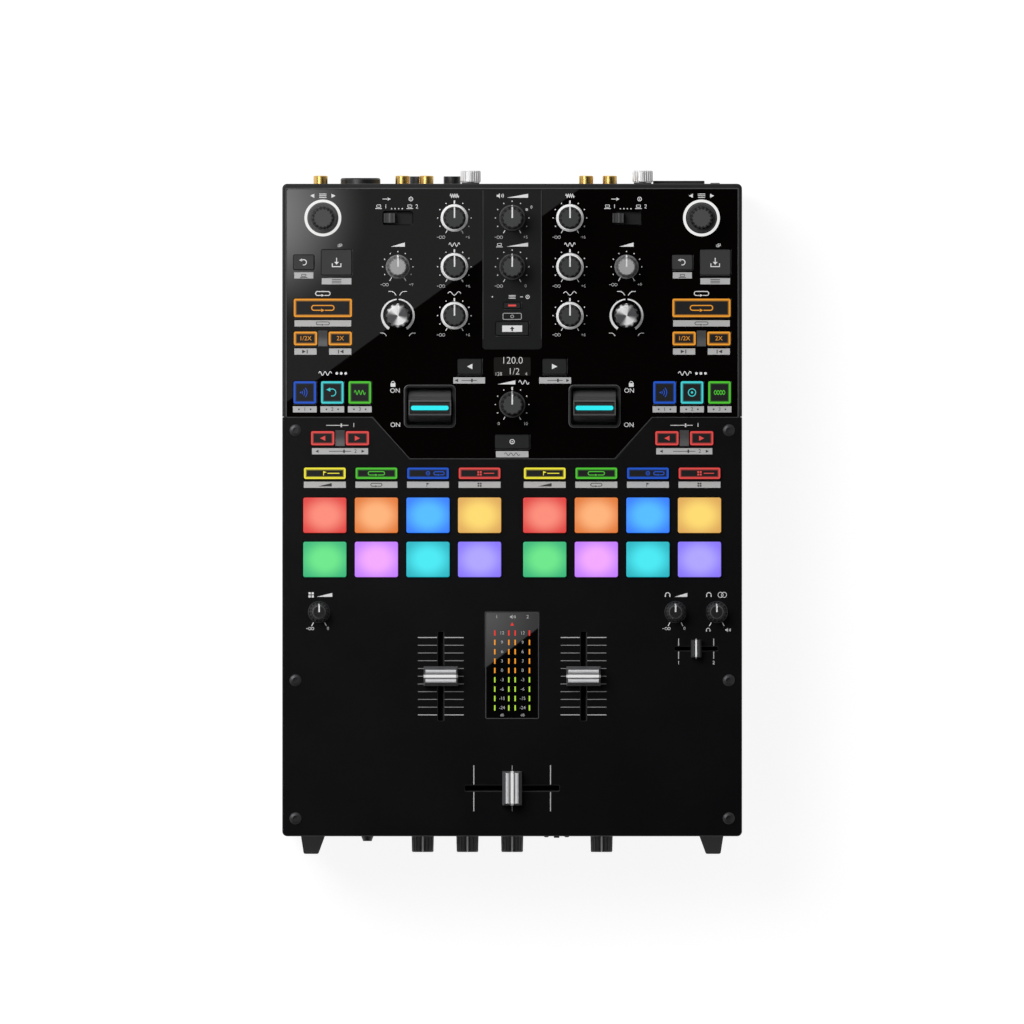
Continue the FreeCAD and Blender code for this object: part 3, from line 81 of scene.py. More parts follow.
def islandsOf(node):
    # the separate solids of a node: polygons that share points
    mesh = nodes[node].data
    owner = {}

    def root(key):
        while owner[key] != key:
            owner[key] = owner[owner[key]]
            key = owner[key]
        return key

    keys = [tuple(round(c / mm, 3) for c in v.co) for v in mesh.vertices]
    for key in keys:
        owner[key] = key
    for poly in mesh.polygons:
        first = root(keys[poly.vertices[0]])
        for index in poly.vertices[1:]:
            owner[root(keys[index])] = first
    found = {}
    for poly in mesh.polygons:
        found.setdefault(root(keys[poly.vertices[0]]), []).append(poly.index)
    islands = []
    for polys in found.values():
        points = [mesh.vertices[i].co / mm for p in polys for i in mesh.polygons[p].vertices]
        low, high = spanOf(points)
        islands.append({"polys": polys, "points": points, "low": low, "high": high, "mid": (low + high) / 2})
    return islands


def capsOf(node, above):
    # what shows of each key over the panel, as rows from the rear, each from the left
    caps = []
    for island in islandsOf(node):
        low, high = spanOf([p for p in island["points"] if p.z > above])
        caps.append({"at": ((low + high) / 2).to_2d(), "w": high.x - low.x, "d": high.y - low.y,
                     "top": high.z, "polys": island["polys"]})
    rows = {}
    for cap in caps:
        rows.setdefault(round(cap["at"].y), []).append(cap)
    return [sorted(rows[y], key=lambda cap: cap["at"].x) for y in sorted(rows, reverse=True)]


plateTop = boxOf("fader_plate")[1].z
glossTop = boxOf("upper_panel")[1].z
stripLow, stripHigh = boxOf("centre_panel")
glossLow = boxOf("upper_panel")[0].y
splitY = boxOf("fader_plate")[1].y
nearHalf = max(p.x for p in pointsOf("upper_panel") if p.y < glossLow + 0.5)  # the nose of the gloss panel
farHalf = min(p.x for p in pointsOf("fader_plate") if p.x > 0 and p.y > splitY - 0.3)
shownFrom = plateTop + 0.2
deckKeys = {side: capsOf(f"deck_keys_{side}", shownFrom) for side in sides}
padKeys = {side: capsOf(f"pads_{side}", shownFrom) for side in sides}
centreKeys = capsOf("centre_keys", shownFrom)
print("frame read:", len(nodes), "nodes")


def surfaceAt(x, y):
    # height of the panel under a printed mark
    if stripLow.x < x < stripHigh.x and y > stripLow.y:
        return stripHigh.z
    noseHalf = nearHalf + (farHalf - nearHalf) * (y - glossLow) / (splitY - glossLow)
    return glossTop if y > splitY or (y > glossLow and abs(x) < noseHalf) else plateTop


# camera and studio

studio = {
    "pixelsPerMm": 1.7195, "frameSize": 1024, "framePixel": 512.15, "height": 2.6,
    "floorSize": 8.0, "floorWhite": 0.9, "floorGlow": 0.72, "floorLevel": 1.22,
    "keyPower": 20.0, "keySize": 1.0, "keyPlace": (-0.75, 0.68, 1.4),
    "fillPower": 3.0, "fillSize": 1.4, "fillPlace": (1.2, -0.6, 1.0),
    "tentWay": (-0.77, 0.64, 0.0), "tentLevels": (0.3, 1.45),
    "cardHeight": 0.95, "cardEdge": ((30.7, 181.8), (-100.1, 86.7)), "cardReach": 330.0,
    "cardGlow": 0.42, "cardSpot": (-150.0, 175.0), "cardSpotReach": 68.0, "cardSpotGlow": 5.6,
    "flagEdge": ((17.5, -65.5), (-17.5, -92.0)), "flagTop": -55.0, "flagSpot": (-17.0, -58.0),
    "flagGlow": (1.0, 2.2), "aim": (0, 0, 0.08),
    "tentStops": ((0.0, 0.95), (0.3, 0.8), (0.62, 0.22), (0.86, 0.03), (1.0, 0.02)),
}


def addCamera(s):
    data = bpy.data.cameras.new("topCamera")
    data.type = "ORTHO"
    data.ortho_scale = s["frameSize"] / s["pixelsPerMm"] * mm
    camera = bpy.data.objects.new("topCamera", data)
    shift = (s["frameSize"] / 2 - s["framePixel"]) / s["pixelsPerMm"] * mm
    camera.location = (shift, -shift, s["height"])
    bpy.context.scene.collection.objects.link(camera)
    bpy.context.scene.camera = camera


def addAreaLight(name, place, size, power, target):
    data = bpy.data.lights.new(name, "AREA")
    data.size = size
    data.energy = power
    lamp = bpy.data.objects.new(name, data)
    lamp.visible_camera = False  # the camera looks down past it
    lamp.location = place
    lamp.rotation_euler = (Vector(target) - Vector(place)).to_track_quat("-Z", "Y").to_euler()
    bpy.context.scene.collection.objects.link(lamp)


def step(tree, kind, inputs=(), output=0, **settings):
    # adds one node: inputs are sockets to link or plain values, and one output is handed back
    added = tree.nodes.new("ShaderNode" + kind)
    for key, value in settings.items():
        setattr(added, key, value)
    for label, value in inputs.items() if isinstance(inputs, dict) else enumerate(inputs):
        if isinstance(value, bpy.types.NodeSocket):
            tree.links.new(value, added.inputs[label])
        else:
            added.inputs[label].default_value = value
    return added.outputs[output]


def addWorld(s):
    # a studio tent: bright round the sides and most at the left rear, dark straight overhead
    world = bpy.data.worlds.new("studioTent")
    bpy.context.scene.world = world
    world.use_nodes = True
    tree = world.node_tree
    tree.nodes.remove(tree.nodes["Background"])
    way = step(tree, "TexCoord", output="Generated")
    shade = step(tree, "ValToRGB", (step(tree, "SeparateXYZ", (way,), "Z"),))
    stops = shade.node.color_ramp.elements
    while len(stops) < len(s["tentStops"]):
        stops.new(1.0)
    for stop, (at, level) in zip(stops, s["tentStops"]):
        stop.position = at
        stop.color = (level, level, level, 1)
    side = step(tree, "VectorMath", (way, s["tentWay"]), "Value", operation="DOT_PRODUCT")
    least, most = s["tentLevels"]
    strength = step(tree, "MapRange", {"Value": side, "From Min": -1.0, "To Min": least, "To Max": most})
    tent = step(tree, "Background", (shade, strength))
    white = step(tree, "Background", ((1, 1, 1, 1), 1.0))  # what the camera sees past the floor
    shown = step(tree, "MixShader", (step(tree, "LightPath", output="Is Camera Ray"), tent, white))
    tree.links.new(shown, tree.nodes["World Output"].inputs["Surface"])


def stageMesh(name, corners, material):
    mesh = bpy.data.meshes.new(name)
    mesh.from_pydata(corners, [], [range(len(corners))])
    mesh.materials.append(material)
    piece = bpy.data.objects.new(name, mesh)
    bpy.context.scene.collection.objects.link(piece)
    return piece


def stageMaterial(name):
    material = bpy.data.materials.new(name)
    material.use_nodes = True
    tree = material.node_tree
    tree.nodes.remove(tree.nodes["Principled BSDF"])
    return material, tree, tree.nodes["Material Output"].inputs["Surface"]


def floorMaterial(s):
    # white to the camera and in reflections, with a faint shadow of the case
    material, tree, surface = stageMaterial("paleFloor")
    diffuse = step(tree, "BsdfDiffuse", {"Color": (s["floorWhite"],) * 3 + (1,)})
    glow = step(tree, "Emission", {"Strength": s["floorLevel"]})
    shown = step(tree, "MixShader", (s["floorGlow"], diffuse, glow))
    seen = 0.0
    for ray in ("Is Camera Ray", "Is Glossy Ray", "Is Transmission Ray"):
        seen = step(tree, "Math", (seen, step(tree, "LightPath", output=ray)), operation="MAXIMUM")
    tree.links.new(step(tree, "MixShader", (seen, diffuse, shown)), surface)
    return material


def cardMaterial(name, s, spot, reach, least, most):
    # soft box face, brightest at one spot
    material, tree, surface = stageMaterial(name)
    centre = (spot[0] * mm, spot[1] * mm, s["cardHeight"])
    spot = step(tree, "TexCoord", output="Object")
    away = step(tree, "VectorMath", (spot, centre), "Value", operation="DISTANCE")
    fall = step(tree, "MapRange", {"Value": away, "From Max": reach * mm, "To Min": most, "To Max": least},
                interpolation_type="SMOOTHSTEP")
    tree.links.new(step(tree, "Emission", {"Strength": fall}), surface)
    return material


def addCards(s):
    # the slanting edges are those that the polished panel and the meter window mirror
    start, end = Vector(s["cardEdge"][0]), Vector(s["cardEdge"][1])
    run = (end - start).normalized()
    out = Vector((run.y, -run.x))  # towards the left rear
    start, end = start - run * s["cardReach"], end + run * s["cardReach"] / 4
    corners = [start, end, end + out * s["cardReach"], start + out * s["cardReach"]]
    glow = cardMaterial("softCard", s, s["cardSpot"], s["cardSpotReach"], s["cardGlow"], s["cardSpotGlow"])
    (rightX, rightY), (leftX, leftY) = s["flagEdge"]
    flag = [(rightX, rightY), (rightX, s["flagTop"]), (leftX, s["flagTop"]), (leftX, leftY)]
    flagGlow = cardMaterial("smallCard", s, s["flagSpot"], rightX - leftX, *s["flagGlow"])
    for name, outline, material in (("softCard", corners, glow), ("smallCard", flag, flagGlow)):
        card = stageMesh(name, [(x * mm, y * mm, s["cardHeight"]) for x, y in outline], material)
        card.visible_camera = False
        card.visible_shadow = False


addCamera(studio)
addWorld(studio)
for lamp in ("key", "fill"):
    place, size, power = (studio[lamp + end] for end in ("Place", "Size", "Power"))
    addAreaLight(lamp + "Light", place, size, power, studio["aim"])
half = studio["floorSize"] / 2
floorCorners = [(-half, -half, 0), (half, -half, 0), (half, half, 0), (-half, half, 0)]
stageMesh("floor", floorCorners, floorMaterial(studio))
addCards(studio)
bpy.context.scene.view_settings.view_transform = "Standard"
print("studio ready")


# finishes

def srgb(r, g, b):
    # a colour as it is read off a picture, 0 to 255, to the linear values that shaders take
    def lin(v):
        v = v / 255
        return v / 12.92 if v <= 0.04045 else ((v + 0.055) / 1.055) ** 2.4
    return (lin(r), lin(g), lin(b), 1)


def newGroup(name, inputs, outputs):
    kinds = {int: "Float", float: "Float", 3: "Vector", 4: "Color"}
    group = bpy.data.node_groups.new(name, "ShaderNodeTree")
    for label, value in inputs.items():
        kind = kinds[len(value) if isinstance(value, tuple) else type(value)]
        socket = group.interface.new_socket(label, in_out="INPUT", socket_type="NodeSocket" + kind)
        socket.default_value = value
    for label in outputs:
        kind = "Color" if label == "Colour" else "Float"
        group.interface.new_socket(label, in_out="OUTPUT", socket_type="NodeSocket" + kind)
    return group, group.nodes.new("NodeGroupInput").outputs, group.nodes.new("NodeGroupOutput").inputs


def handOut(group, end, **results):
    for label, result in results.items():
        group.links.new(result, end[label])
    return group


def blend(group, share, first, second):
    return step(group, "Mix", {"Factor": share, 6: first, 7: second}, 2, data_type="RGBA")


def fromCentre(group, centre):
    return step(group, "VectorMath", (step(group, "TexCoord", output="Object"), centre), operation="SUBTRACT")


def polar(group, centre):
    # angle from the rear and distance from a vertical axis through centre
    offset = fromCentre(group, centre)
    flat = step(group, "VectorMath", (offset, (1, 1, 0)), operation="MULTIPLY")
    across, along = (step(group, "SeparateXYZ", (offset,), axis) for axis in "XY")
    return (step(group, "Math", (across, along), operation="ARCTAN2"),
            step(group, "VectorMath", (flat,), "Value", operation="LENGTH"))


def grainGroup():
    # moulded or sprayed grain: a height for bump, and a colour and gloss that vary with it
    group, start, end = newGroup("fineGrain", {
        "Colour": (0.05, 0.05, 0.05, 1), "Scale": 2500.0, "Mottle": 0.25, "Gloss": 0.5, "Spread": 0.1},
        ("Colour", "Roughness", "Height"))
    place = step(group, "TexCoord", output="Object")
    fine = step(group, "TexNoise", {"Vector": place, "Scale": start["Scale"], "Detail": 3}, "Fac")
    broad = step(group, "TexNoise", {"Vector": place, "Scale": 28, "Detail": 4}, "Fac")
    both = step(group, "Math", (fine, broad), operation="ADD")
    centred = step(group, "Math", (both, 1.0), operation="SUBTRACT")
    shade = step(group, "Math", (centred, start["Mottle"], 1.0), operation="MULTIPLY_ADD")
    tinted = step(group, "VectorMath", {0: start["Colour"], "Scale": shade}, operation="SCALE")
    rough = step(group, "Math", (centred, start["Spread"], start["Gloss"]), operation="MULTIPLY_ADD")
    return handOut(group, end, Colour=tinted, Roughness=rough, Height=fine)


def wipeGroup():
    # faint wiping and finger marks on polished faces
    group, start, end = newGroup("wipeMarks", {"Gloss": 0.03, "Spread": 0.04}, ("Roughness",))
    spot = step(group, "TexCoord", output="Object")
    place = step(group, "Mapping", {"Vector": spot, "Scale": (1.0, 4.0, 1.0),
                                    "Rotation": (0, 0, math.radians(25))})
    marks = step(group, "TexNoise", {"Vector": place, "Scale": 18, "Detail": 6}, "Fac")
    curve = step(group, "MapRange", {"Value": marks, "From Min": 0.55, "From Max": 0.85})
    rough = step(group, "Math", (curve, start["Spread"], start["Gloss"]), operation="MULTIPLY_ADD")
    return handOut(group, end, Roughness=rough)


def spunSheenGroup():
    # turning marks round a vertical axis through Centre: real rings in the height, and a painted highlight in
    # the colour, a fan of sheen between Dark and Light
    group, start, end = newGroup("spunRingsPaintedSheen", {
        "Centre": (0, 0, 0), "Dark": (0.3, 0.3, 0.3, 1), "Light": (0.9, 0.9, 0.9, 1), "Fans": 2.0,
        "Turn": 0.0}, ("Colour", "Height"))
    angle, radius = polar(group, start["Centre"])
    fans = step(group, "Math", (angle, start["Fans"], start["Turn"]), operation="MULTIPLY_ADD")
    swing = step(group, "Math", (fans,), operation="COSINE")
    sheen = step(group, "MapRange", {"Value": swing, "From Min": -0.7, "From Max": 0.9},
                 interpolation_type="SMOOTHSTEP")
    rings = step(group, "Math", (radius, 16000), operation="MULTIPLY")
    ripple = step(group, "Math", (rings,), operation="SINE")
    return handOut(group, end, Colour=blend(group, sheen, start["Dark"], start["Light"]), Height=ripple)


def glowGroup():
    # light spreading through silicone from a lamp under the middle
    group, start, end = newGroup("padGlow", {
        "Centre": (0, 0, 0), "Stretch": (80, 95, 0), "Middle": (1, 1, 1, 1), "Rim": (0.5, 0.5, 0.5, 1)},
        ("Colour",))
    away = fromCentre(group, start["Centre"])
    scaled = step(group, "VectorMath", (away, start["Stretch"]), operation="MULTIPLY")
    radius = step(group, "VectorMath", (scaled,), "Value", operation="LENGTH")
    fall = step(group, "MapRange", {"Value": radius, "From Min": 0.35, "From Max": 1.3},
                interpolation_type="SMOOTHSTEP")
    return handOut(group, end, Colour=blend(group, fall, start["Middle"], start["Rim"]))


def faceGroup():
    # one colour inside a scalloped outline round Centre, another outside it
    group, start, end = newGroup("scallopFace", {
        "Centre": (0, 0, 0), "Lobes": 12.0, "Radius": 0.005, "Depth": 0.0002, "Soft": 0.0002,
        "Inside": (0.03, 0.03, 0.03, 1), "Outside": (0.005, 0.005, 0.005, 1)}, ("Colour",))
    angle, radius = polar(group, start["Centre"])
    turns = step(group, "Math", (angle, start["Lobes"]), operation="MULTIPLY")
    lobes = step(group, "Math", (turns,), operation="COSINE")
    edge = step(group, "Math", (lobes, start["Depth"], start["Radius"]), operation="MULTIPLY_ADD")
    beyond = step(group, "Math", (radius, edge), operation="SUBTRACT")
    fade = step(group, "MapRange", {"Value": beyond, "From Max": start["Soft"]},
                interpolation_type="SMOOTHSTEP")
    return handOut(group, end, Colour=blend(group, fade, start["Inside"], start["Outside"]))


groups = {"grain": grainGroup(), "wipe": wipeGroup(), "spunSheen": spunSheenGroup(), "glow": glowGroup(),
          "face": faceGroup()}


def newMaterial(name):
    material = bpy.data.materials.new(name)
    material.use_nodes = True
    return material, material.node_tree, material.node_tree.nodes["Principled BSDF"]


def placed(tree, group, **values):
    made = tree.nodes.new("ShaderNodeGroup")
    made.node_tree = groups[group]
    for label, value in values.items():
        made.inputs[label].default_value = value
    return made


def dressed(name, base, group, wiring, values, bump=0.0, depth=0.00005, **constants):
    # a material whose shader takes the outputs of one group, with plain values beside them
    material, tree, shader = newMaterial(name)
    shader.inputs["Base Color"].default_value = base
    made = placed(tree, group, **values)
    for output, socket in wiring.items():
        tree.links.new(made.outputs[output], shader.inputs[socket])
    if bump:
        height = step(tree, "Bump", {"Strength": bump, "Distance": depth, "Height": made.outputs["Height"]})
        tree.links.new(height, shader.inputs["Normal"])
    for label, value in constants.items():
        shader.inputs[label.replace("_", " ")].default_value = value
    return material, tree, shader


def grained(name, colour, gloss, scale=2500.0, mottle=0.2, spread=0.1, bump=0.25, metal=0.0, shine=0.5):
    values = {"Colour": colour, "Scale": scale, "Mottle": mottle, "Gloss": gloss, "Spread": spread}
    return dressed(name, colour, "grain", {"Colour": "Base Color", "Roughness": "Roughness"}, values, bump,
                   Metallic=metal, Specular_IOR_Level=shine)[0]


def polished(name, colour, gloss, spread):
    return dressed(name, colour, "wipe", {"Roughness": "Roughness"}, {"Gloss": gloss, "Spread": spread})[0]


def dimmed(colour, share):
    # the body colour of something that mostly glows
    return (*(c * share for c in colour[:3]), 1)


def lit(name, colour, strength=1.0):
    # a lamp colour under a lens, with a little body of its own; it also makes the printed browse ring glow,
    # which is painted light
    values = {"Colour": colour, "Scale": 1500.0, "Mottle": 0.12, "Gloss": 0.4, "Spread": 0.05}
    wiring = {"Colour": "Emission Color", "Roughness": "Roughness"}
    return dressed(name, dimmed(colour, 0.1), "grain", wiring, values, Emission_Strength=strength)[0]


def padMaterial(name, cap, middle, rim):
    values = {"Scale": 1800.0, "Gloss": 0.55, "Spread": 0.1}
    material, tree, shader = dressed(name, dimmed(rim, 0.15), "grain", {"Roughness": "Roughness"}, values,
                                     0.15, Emission_Strength=0.92)
    glow = placed(tree, "glow", Centre=(cap["at"].x * mm, cap["at"].y * mm, cap["top"] * mm),
                  Stretch=(2 / (cap["w"] * mm), 2 / (cap["d"] * mm), 0), Middle=middle, Rim=rim)
    tree.links.new(glow.outputs["Colour"], shader.inputs["Emission Color"])
    return material


def spunSheenMaterial(name, centre):
    # the filter knob's face: real turning rings in the bump, and a painted highlight that fans round the
    # axis, turned by 48 degrees
    dark = srgb(84, 84, 86)
    values = {"Centre": (centre.x * mm, centre.y * mm, 0), "Dark": dark, "Light": srgb(252, 252, 252),
              "Turn": math.radians(48)}
    return dressed(name, dark, "spunSheen", {"Colour": "Base Color"}, values, 0.2, 0.00002,
                   Metallic=0.55, Roughness=0.38)[0]


def faceMaterial(name, centre, f):
    material, tree, shader = dressed(name, srgb(*f["inside"]), "grain", {"Roughness": "Roughness"},
                                     {"Scale": 2600.0, "Gloss": f["gloss"], "Spread": 0.08}, 0.15,
                                     Specular_IOR_Level=f["shine"])
    face = placed(tree, "face", Centre=(centre.x * mm, centre.y * mm, 0), Lobes=f["lobes"],
                  Radius=f["radius"] * mm, Depth=f["depth"] * mm, Soft=f["soft"] * mm,
                  Inside=srgb(*f["inside"]), Outside=srgb(*f["outside"]))
    tree.links.new(face.outputs["Colour"], shader.inputs["Base Color"])
    return material


grains = {  # colour, gloss, grain scale, mottle, spread, bump, metal, shine
    "caseCoat": ((34, 34, 35), 0.55, 1800.0, 0.3, 0.12, 0.5),
    "coverMould": ((20, 20, 21), 0.42, 2600.0, 0.2, 0.1, 0.2, 0.0, 0.32),
    "centreStrip": ((12, 13, 13), 0.45, 3200.0, 0.15, 0.08, 0.15, 0.0, 0.22),
    "faderPlate": ((2, 2, 4), 0.34, 2200.0, 0.25, 0.08, 0.12, 0.0, 0.22),
    "plateEdgeHighlight": ((30, 30, 31), 0.36, 2200.0, 0.1, 0.06, 0.1),
    "bezelEdgeHighlight": ((84, 84, 85), 0.36, 2200.0, 0.1, 0.06, 0.1),
    "edgeLine": ((66, 66, 67), 0.4, 2200.0, 0.1, 0.06, 0.1),
    "blackScrew": ((56, 56, 58), 0.37, 3000.0, 0.2, 0.1, 0.2, 0.6),
    "footRubber": ((28, 28, 28), 0.8, 1200.0, 0.3, 0.1, 0.5),
    "guardMould": ((52, 52, 53), 0.55, 2200.0, 0.2, 0.1, 0.3),
    "windowEdge": ((58, 58, 60), 0.4, 2000.0, 0.1, 0.05, 0.05),
    "boardCoat": ((22, 82, 48), 0.4, 900.0, 0.3, 0.1, 0.2),
    "bareAluminium": ((170, 170, 172), 0.4, 1500.0, 0.15, 0.12, 0.2, 1.0),
    "platedSteel": ((165, 165, 165), 0.35, 2000.0, 0.15, 0.1, 0.15, 1.0),
    "brightNickel": ((225, 225, 226), 0.33, 2600.0, 0.1, 0.1, 0.15, 0.75),
    "goldPlate": ((214, 178, 106), 0.26, 2600.0, 0.03, 0.02, 0.02, 1.0),
    "phonoWhite": ((215, 214, 208), 0.45, 1500.0, 0.08, 0.06, 0.1),
    "phonoRed": ((176, 30, 30), 0.45, 1500.0, 0.1, 0.06, 0.1),
    "socketBlack": ((22, 22, 23), 0.34, 2000.0, 0.2, 0.1, 0.2),
    "knobTop": ((50, 51, 51), 0.6, 2600.0, 0.12, 0.08, 0.2, 0.0, 0.3),
    "knobSide": ((14, 14, 15), 0.5, 2600.0, 0.15, 0.08, 0.15),
    "knobSkirt": ((38, 38, 39), 0.42, 2600.0, 0.15, 0.08, 0.15),
    "slideBlack": ((10, 10, 11), 0.5, 2400.0, 0.15, 0.08, 0.15, 0.0, 0.3),
    "dividerHighlight": ((76, 76, 77), 0.34, 2600.0, 0.1, 0.06, 0.1),
    "collarMetal": ((253, 253, 253), 0.4, 2600.0, 0.04, 0.06, 0.05, 0.1),
    "trimTop": ((158, 158, 158), 0.5, 2400.0, 0.08, 0.06, 0.1),
    # the trim knob's side: its silver top colour, darker, as painted shade
    "trimSide": ((122, 122, 123), 0.34, 2400.0, 0.08, 0.06, 0.1, 0.3),
    # the small knobs' flanks: their black plastic, lighter, as painted highlight
    "smallSide": ((66, 66, 67), 0.3, 2600.0, 0.12, 0.06, 0.1),
    "smallKnob": ((24, 24, 25), 0.32, 2600.0, 0.15, 0.08, 0.1),
    "frontKnob": ((74, 74, 75), 0.5, 2400.0, 0.15, 0.08, 0.2),
    "capSilver": ((226, 227, 228), 0.42, 2400.0, 0.06, 0.08, 0.12, 0.25),
    "capShadedSilver": ((112, 112, 114), 0.34, 2400.0, 0.08, 0.08, 0.12, 0.4),
    "capSlopeHighlight": ((214, 214, 216), 0.4, 2400.0, 0.08, 0.08, 0.12, 0.3),
    "capLine": ((250, 250, 250), 0.5, 1500.0, 0.04, 0.05, 0.05),
    "cueCap": ((70, 71, 72), 0.42, 2400.0, 0.1, 0.08, 0.15, 0.3),
    "keyFace": ((15, 15, 17), 0.45, 2600.0, 0.15, 0.08, 0.15, 0.0, 0.3),
    "keyPlain": ((52, 52, 53), 0.5, 2600.0, 0.15, 0.08, 0.15, 0.0, 0.3),
    "keyDark": ((20, 21, 22), 0.5, 2600.0, 0.15, 0.08, 0.15, 0.0, 0.3),
    "paddleMould": ((84, 84, 85), 0.36, 2600.0, 0.12, 0.08, 0.1),
    "paddleWellShade": ((5, 5, 5), 0.5, 2600.0, 0.12, 0.08, 0.12),
    "printWhite": ((232, 232, 232), 0.6, 1500.0, 0.06, 0.05, 0.05),
    "printGrey": ((188, 188, 188), 0.6, 1500.0, 0.06, 0.05, 0.05),
    "printFaint": ((150, 150, 150), 0.6, 1500.0, 0.06, 0.05, 0.05),
    "printDark": ((44, 44, 44), 0.6, 1500.0, 0.06, 0.05, 0.05),
}
finishes = {name: grained(name, srgb(*colour), *rest) for name, (colour, *rest) in grains.items()}
finishes["glossPanel"] = polished("glossPanel", (0.0012, 0.0006, 0.0004, 1), 0.008, 0.02)
finishes["window"] = polished("window", (0.0012, 0.0012, 0.0014, 1), 0.01, 0.02)
finishes["displayGlass"] = polished("displayGlass", srgb(33, 31, 30), 0.08, 0.04)
# the printed ring round the browse knob glows: painted light that keeps it evenly bright where the knob's
# shade would fall
finishes["ringWhite"] = lit("ringWhite", srgb(238, 238, 237), 0.9)
plainLamps = {"paddleLight": (28, 228, 234), "meterRed": (236, 44, 30), "meterOrange": (240, 150, 30),
              "meterGreen": (172, 218, 60), "displayWhite": (196, 196, 194)}
lampColours = {"litOrange": (220, 142, 28), "litBlue": (8, 76, 190), "litCyan": (56, 198, 202),
               "litGreen": (68, 184, 36), "litYellow": (230, 218, 50), "litRed": (210, 64, 60)}
haloShare = 0.6  # of a lamp's colour, in the glow inside its frame
for name, colour in {**plainLamps, **lampColours}.items():
    finishes[name] = lit(name, srgb(*colour))
for name, colour in lampColours.items():
    finishes[name + "Dim"] = lit(name + "Dim", srgb(*(c * haloShare for c in colour)))
print("finishes made:", len(finishes))


# finishing the solids that stay

def coat(name, finish):
    mesh = nodes[name].data
    mesh.materials.clear()
    recoat(name, finish, range(len(mesh.polygons)))


def recoat(name, finish, polys):
    mesh = nodes[name].data
    mesh.materials.append(finish if not isinstance(finish, str) else finishes[finish])
    for index in polys:
        mesh.polygons[index].material_index = len(mesh.materials) - 1


def facingUp(name, polys, least=0.9):
    return [i for i in polys if nodes[name].data.polygons[i].normal.z > least]


plainCoats = {
    "chassis_tray": "caseCoat", "rear_panel": "caseCoat", "top_cover": "coverMould",
    "upper_panel": "glossPanel", "centre_panel": "centreStrip", "fader_plate": "faderPlate",
    "case_screws": "blackScrew", "rubber_feet": "footRubber", "knob_guards": "guardMould",
    "paddle_bezels": "coverMould",
    "display_module": "displayGlass", "level_meter": "window", "control_board": "boardCoat",
    "main_board": "boardCoat", "power_supply": "bareAluminium", "potentiometers": "platedSteel",
    "slide_units": "slideBlack", "rca_jacks": "goldPlate", "xlr_sockets": "socketBlack",
    "phone_jacks": "socketBlack", "usb_ports": "brightNickel", "ac_inlet": "socketBlack",
    "ground_nuts": "brightNickel", "reverse_switch": "knobSkirt", "power_switch": "keyFace",
    "centre_keys": "keyDark",
}
for name, finish in plainCoats.items():
    coat(name, finish)

knobNames = [n for n in nodes if "_knob" in n and n != "knob_guards"]
knobCoats = {  # side, top and skirt of each kind
    "eq": ("knobSide", "knobTop", "knobSide"), "level": ("knobSide", "knobTop", "knobSkirt"),
    "trim": ("trimSide", "trimTop", "trimSide"), "browse": ("knobSide", "knobTop", "knobSkirt"),
    "filter": ("knobSide", "knobTop", "knobSkirt"), "sampler": ("smallSide", "smallKnob", "smallKnob"),
    "headphone": ("smallSide", "smallKnob", "smallKnob"), "front": ("frontKnob", "frontKnob", "frontKnob"),
}
plainFace = {"soft": 0.06, "gloss": 0.55, "shine": 0.3, "depth": 0.3, "outside": (8, 8, 9)}
knobFaces = {  # scalloped tops inside their darker rims: the dark flute walls, with painted shade in their recesses
    "eq": {**plainFace, "lobes": 12, "radius": 5.05, "inside": (52, 53, 53)},
    "level": {**plainFace, "lobes": 12, "radius": 5.15, "inside": (58, 59, 59)},
    "browse": {**plainFace, "lobes": 16, "radius": 5.1, "depth": 0.35, "inside": (70, 70, 70)},
    "trim": {**plainFace, "lobes": 14, "radius": 4.55, "inside": (160, 160, 160), "outside": (80, 80, 81)},
}
# painted shade: the skirt goes near black close to the grip and fades out to grey, a painted contact shadow
# round the grip
skirtContactShade = {"lobes": 0, "depth": 0.0, "soft": 0.7, "radius": 6.3, "inside": (6, 6, 7),
             "outside": (54, 54, 55), "gloss": 0.28, "shine": 0.7}
knobCuts = {"topBand": 0.6, "skirt": 1.9, "browseSkirt": 4.1, "filterFoot": 1.3, "collarHeight": 3.0,
            "grooveHalf": 0.49, "grooveReach": 9.0, "smallReach": 5.0}


def knobKind(name):
    if name.startswith(("sampler", "headphone", "front", "browse", "trim", "filter")):
        return name.split("_")[0]
    return "eq" if "_eq_" in name else "level"


def tallness(island):
    return island["high"].z - island["low"].z


def knobParts(name):
    # the grip reaches highest, or is the widest on a front knob; the others are its shaft and collar
    islands = islandsOf(name)
    if name.startswith("front"):
        grip = max(islands, key=lambda island: island["high"].x - island["low"].x)
    else:
        grip = max(islands, key=lambda island: island["high"].z)
    return grip, [island for island in islands if island is not grip]


def groovePolys(name, grip):
    # the pointer groove runs from the axis to the rear, or up on a front knob
    mesh = nodes[name].data
    ahead = 2 if name.startswith("front") else 1
    found = []
    for i in grip["polys"]:
        corners = [mesh.vertices[v].co / mm for v in mesh.polygons[i].vertices]
        inside = all(abs(c.x - grip["mid"].x) < knobCuts["grooveHalf"] for c in corners)
        reach = knobCuts["smallReach" if name.startswith(("sampler", "headphone")) else "grooveReach"]
        ends = [c[ahead] - grip["mid"][ahead] for c in corners]
        if inside and min(ends) > -0.05 and max(ends) < reach:
            found.append(i)
    return found


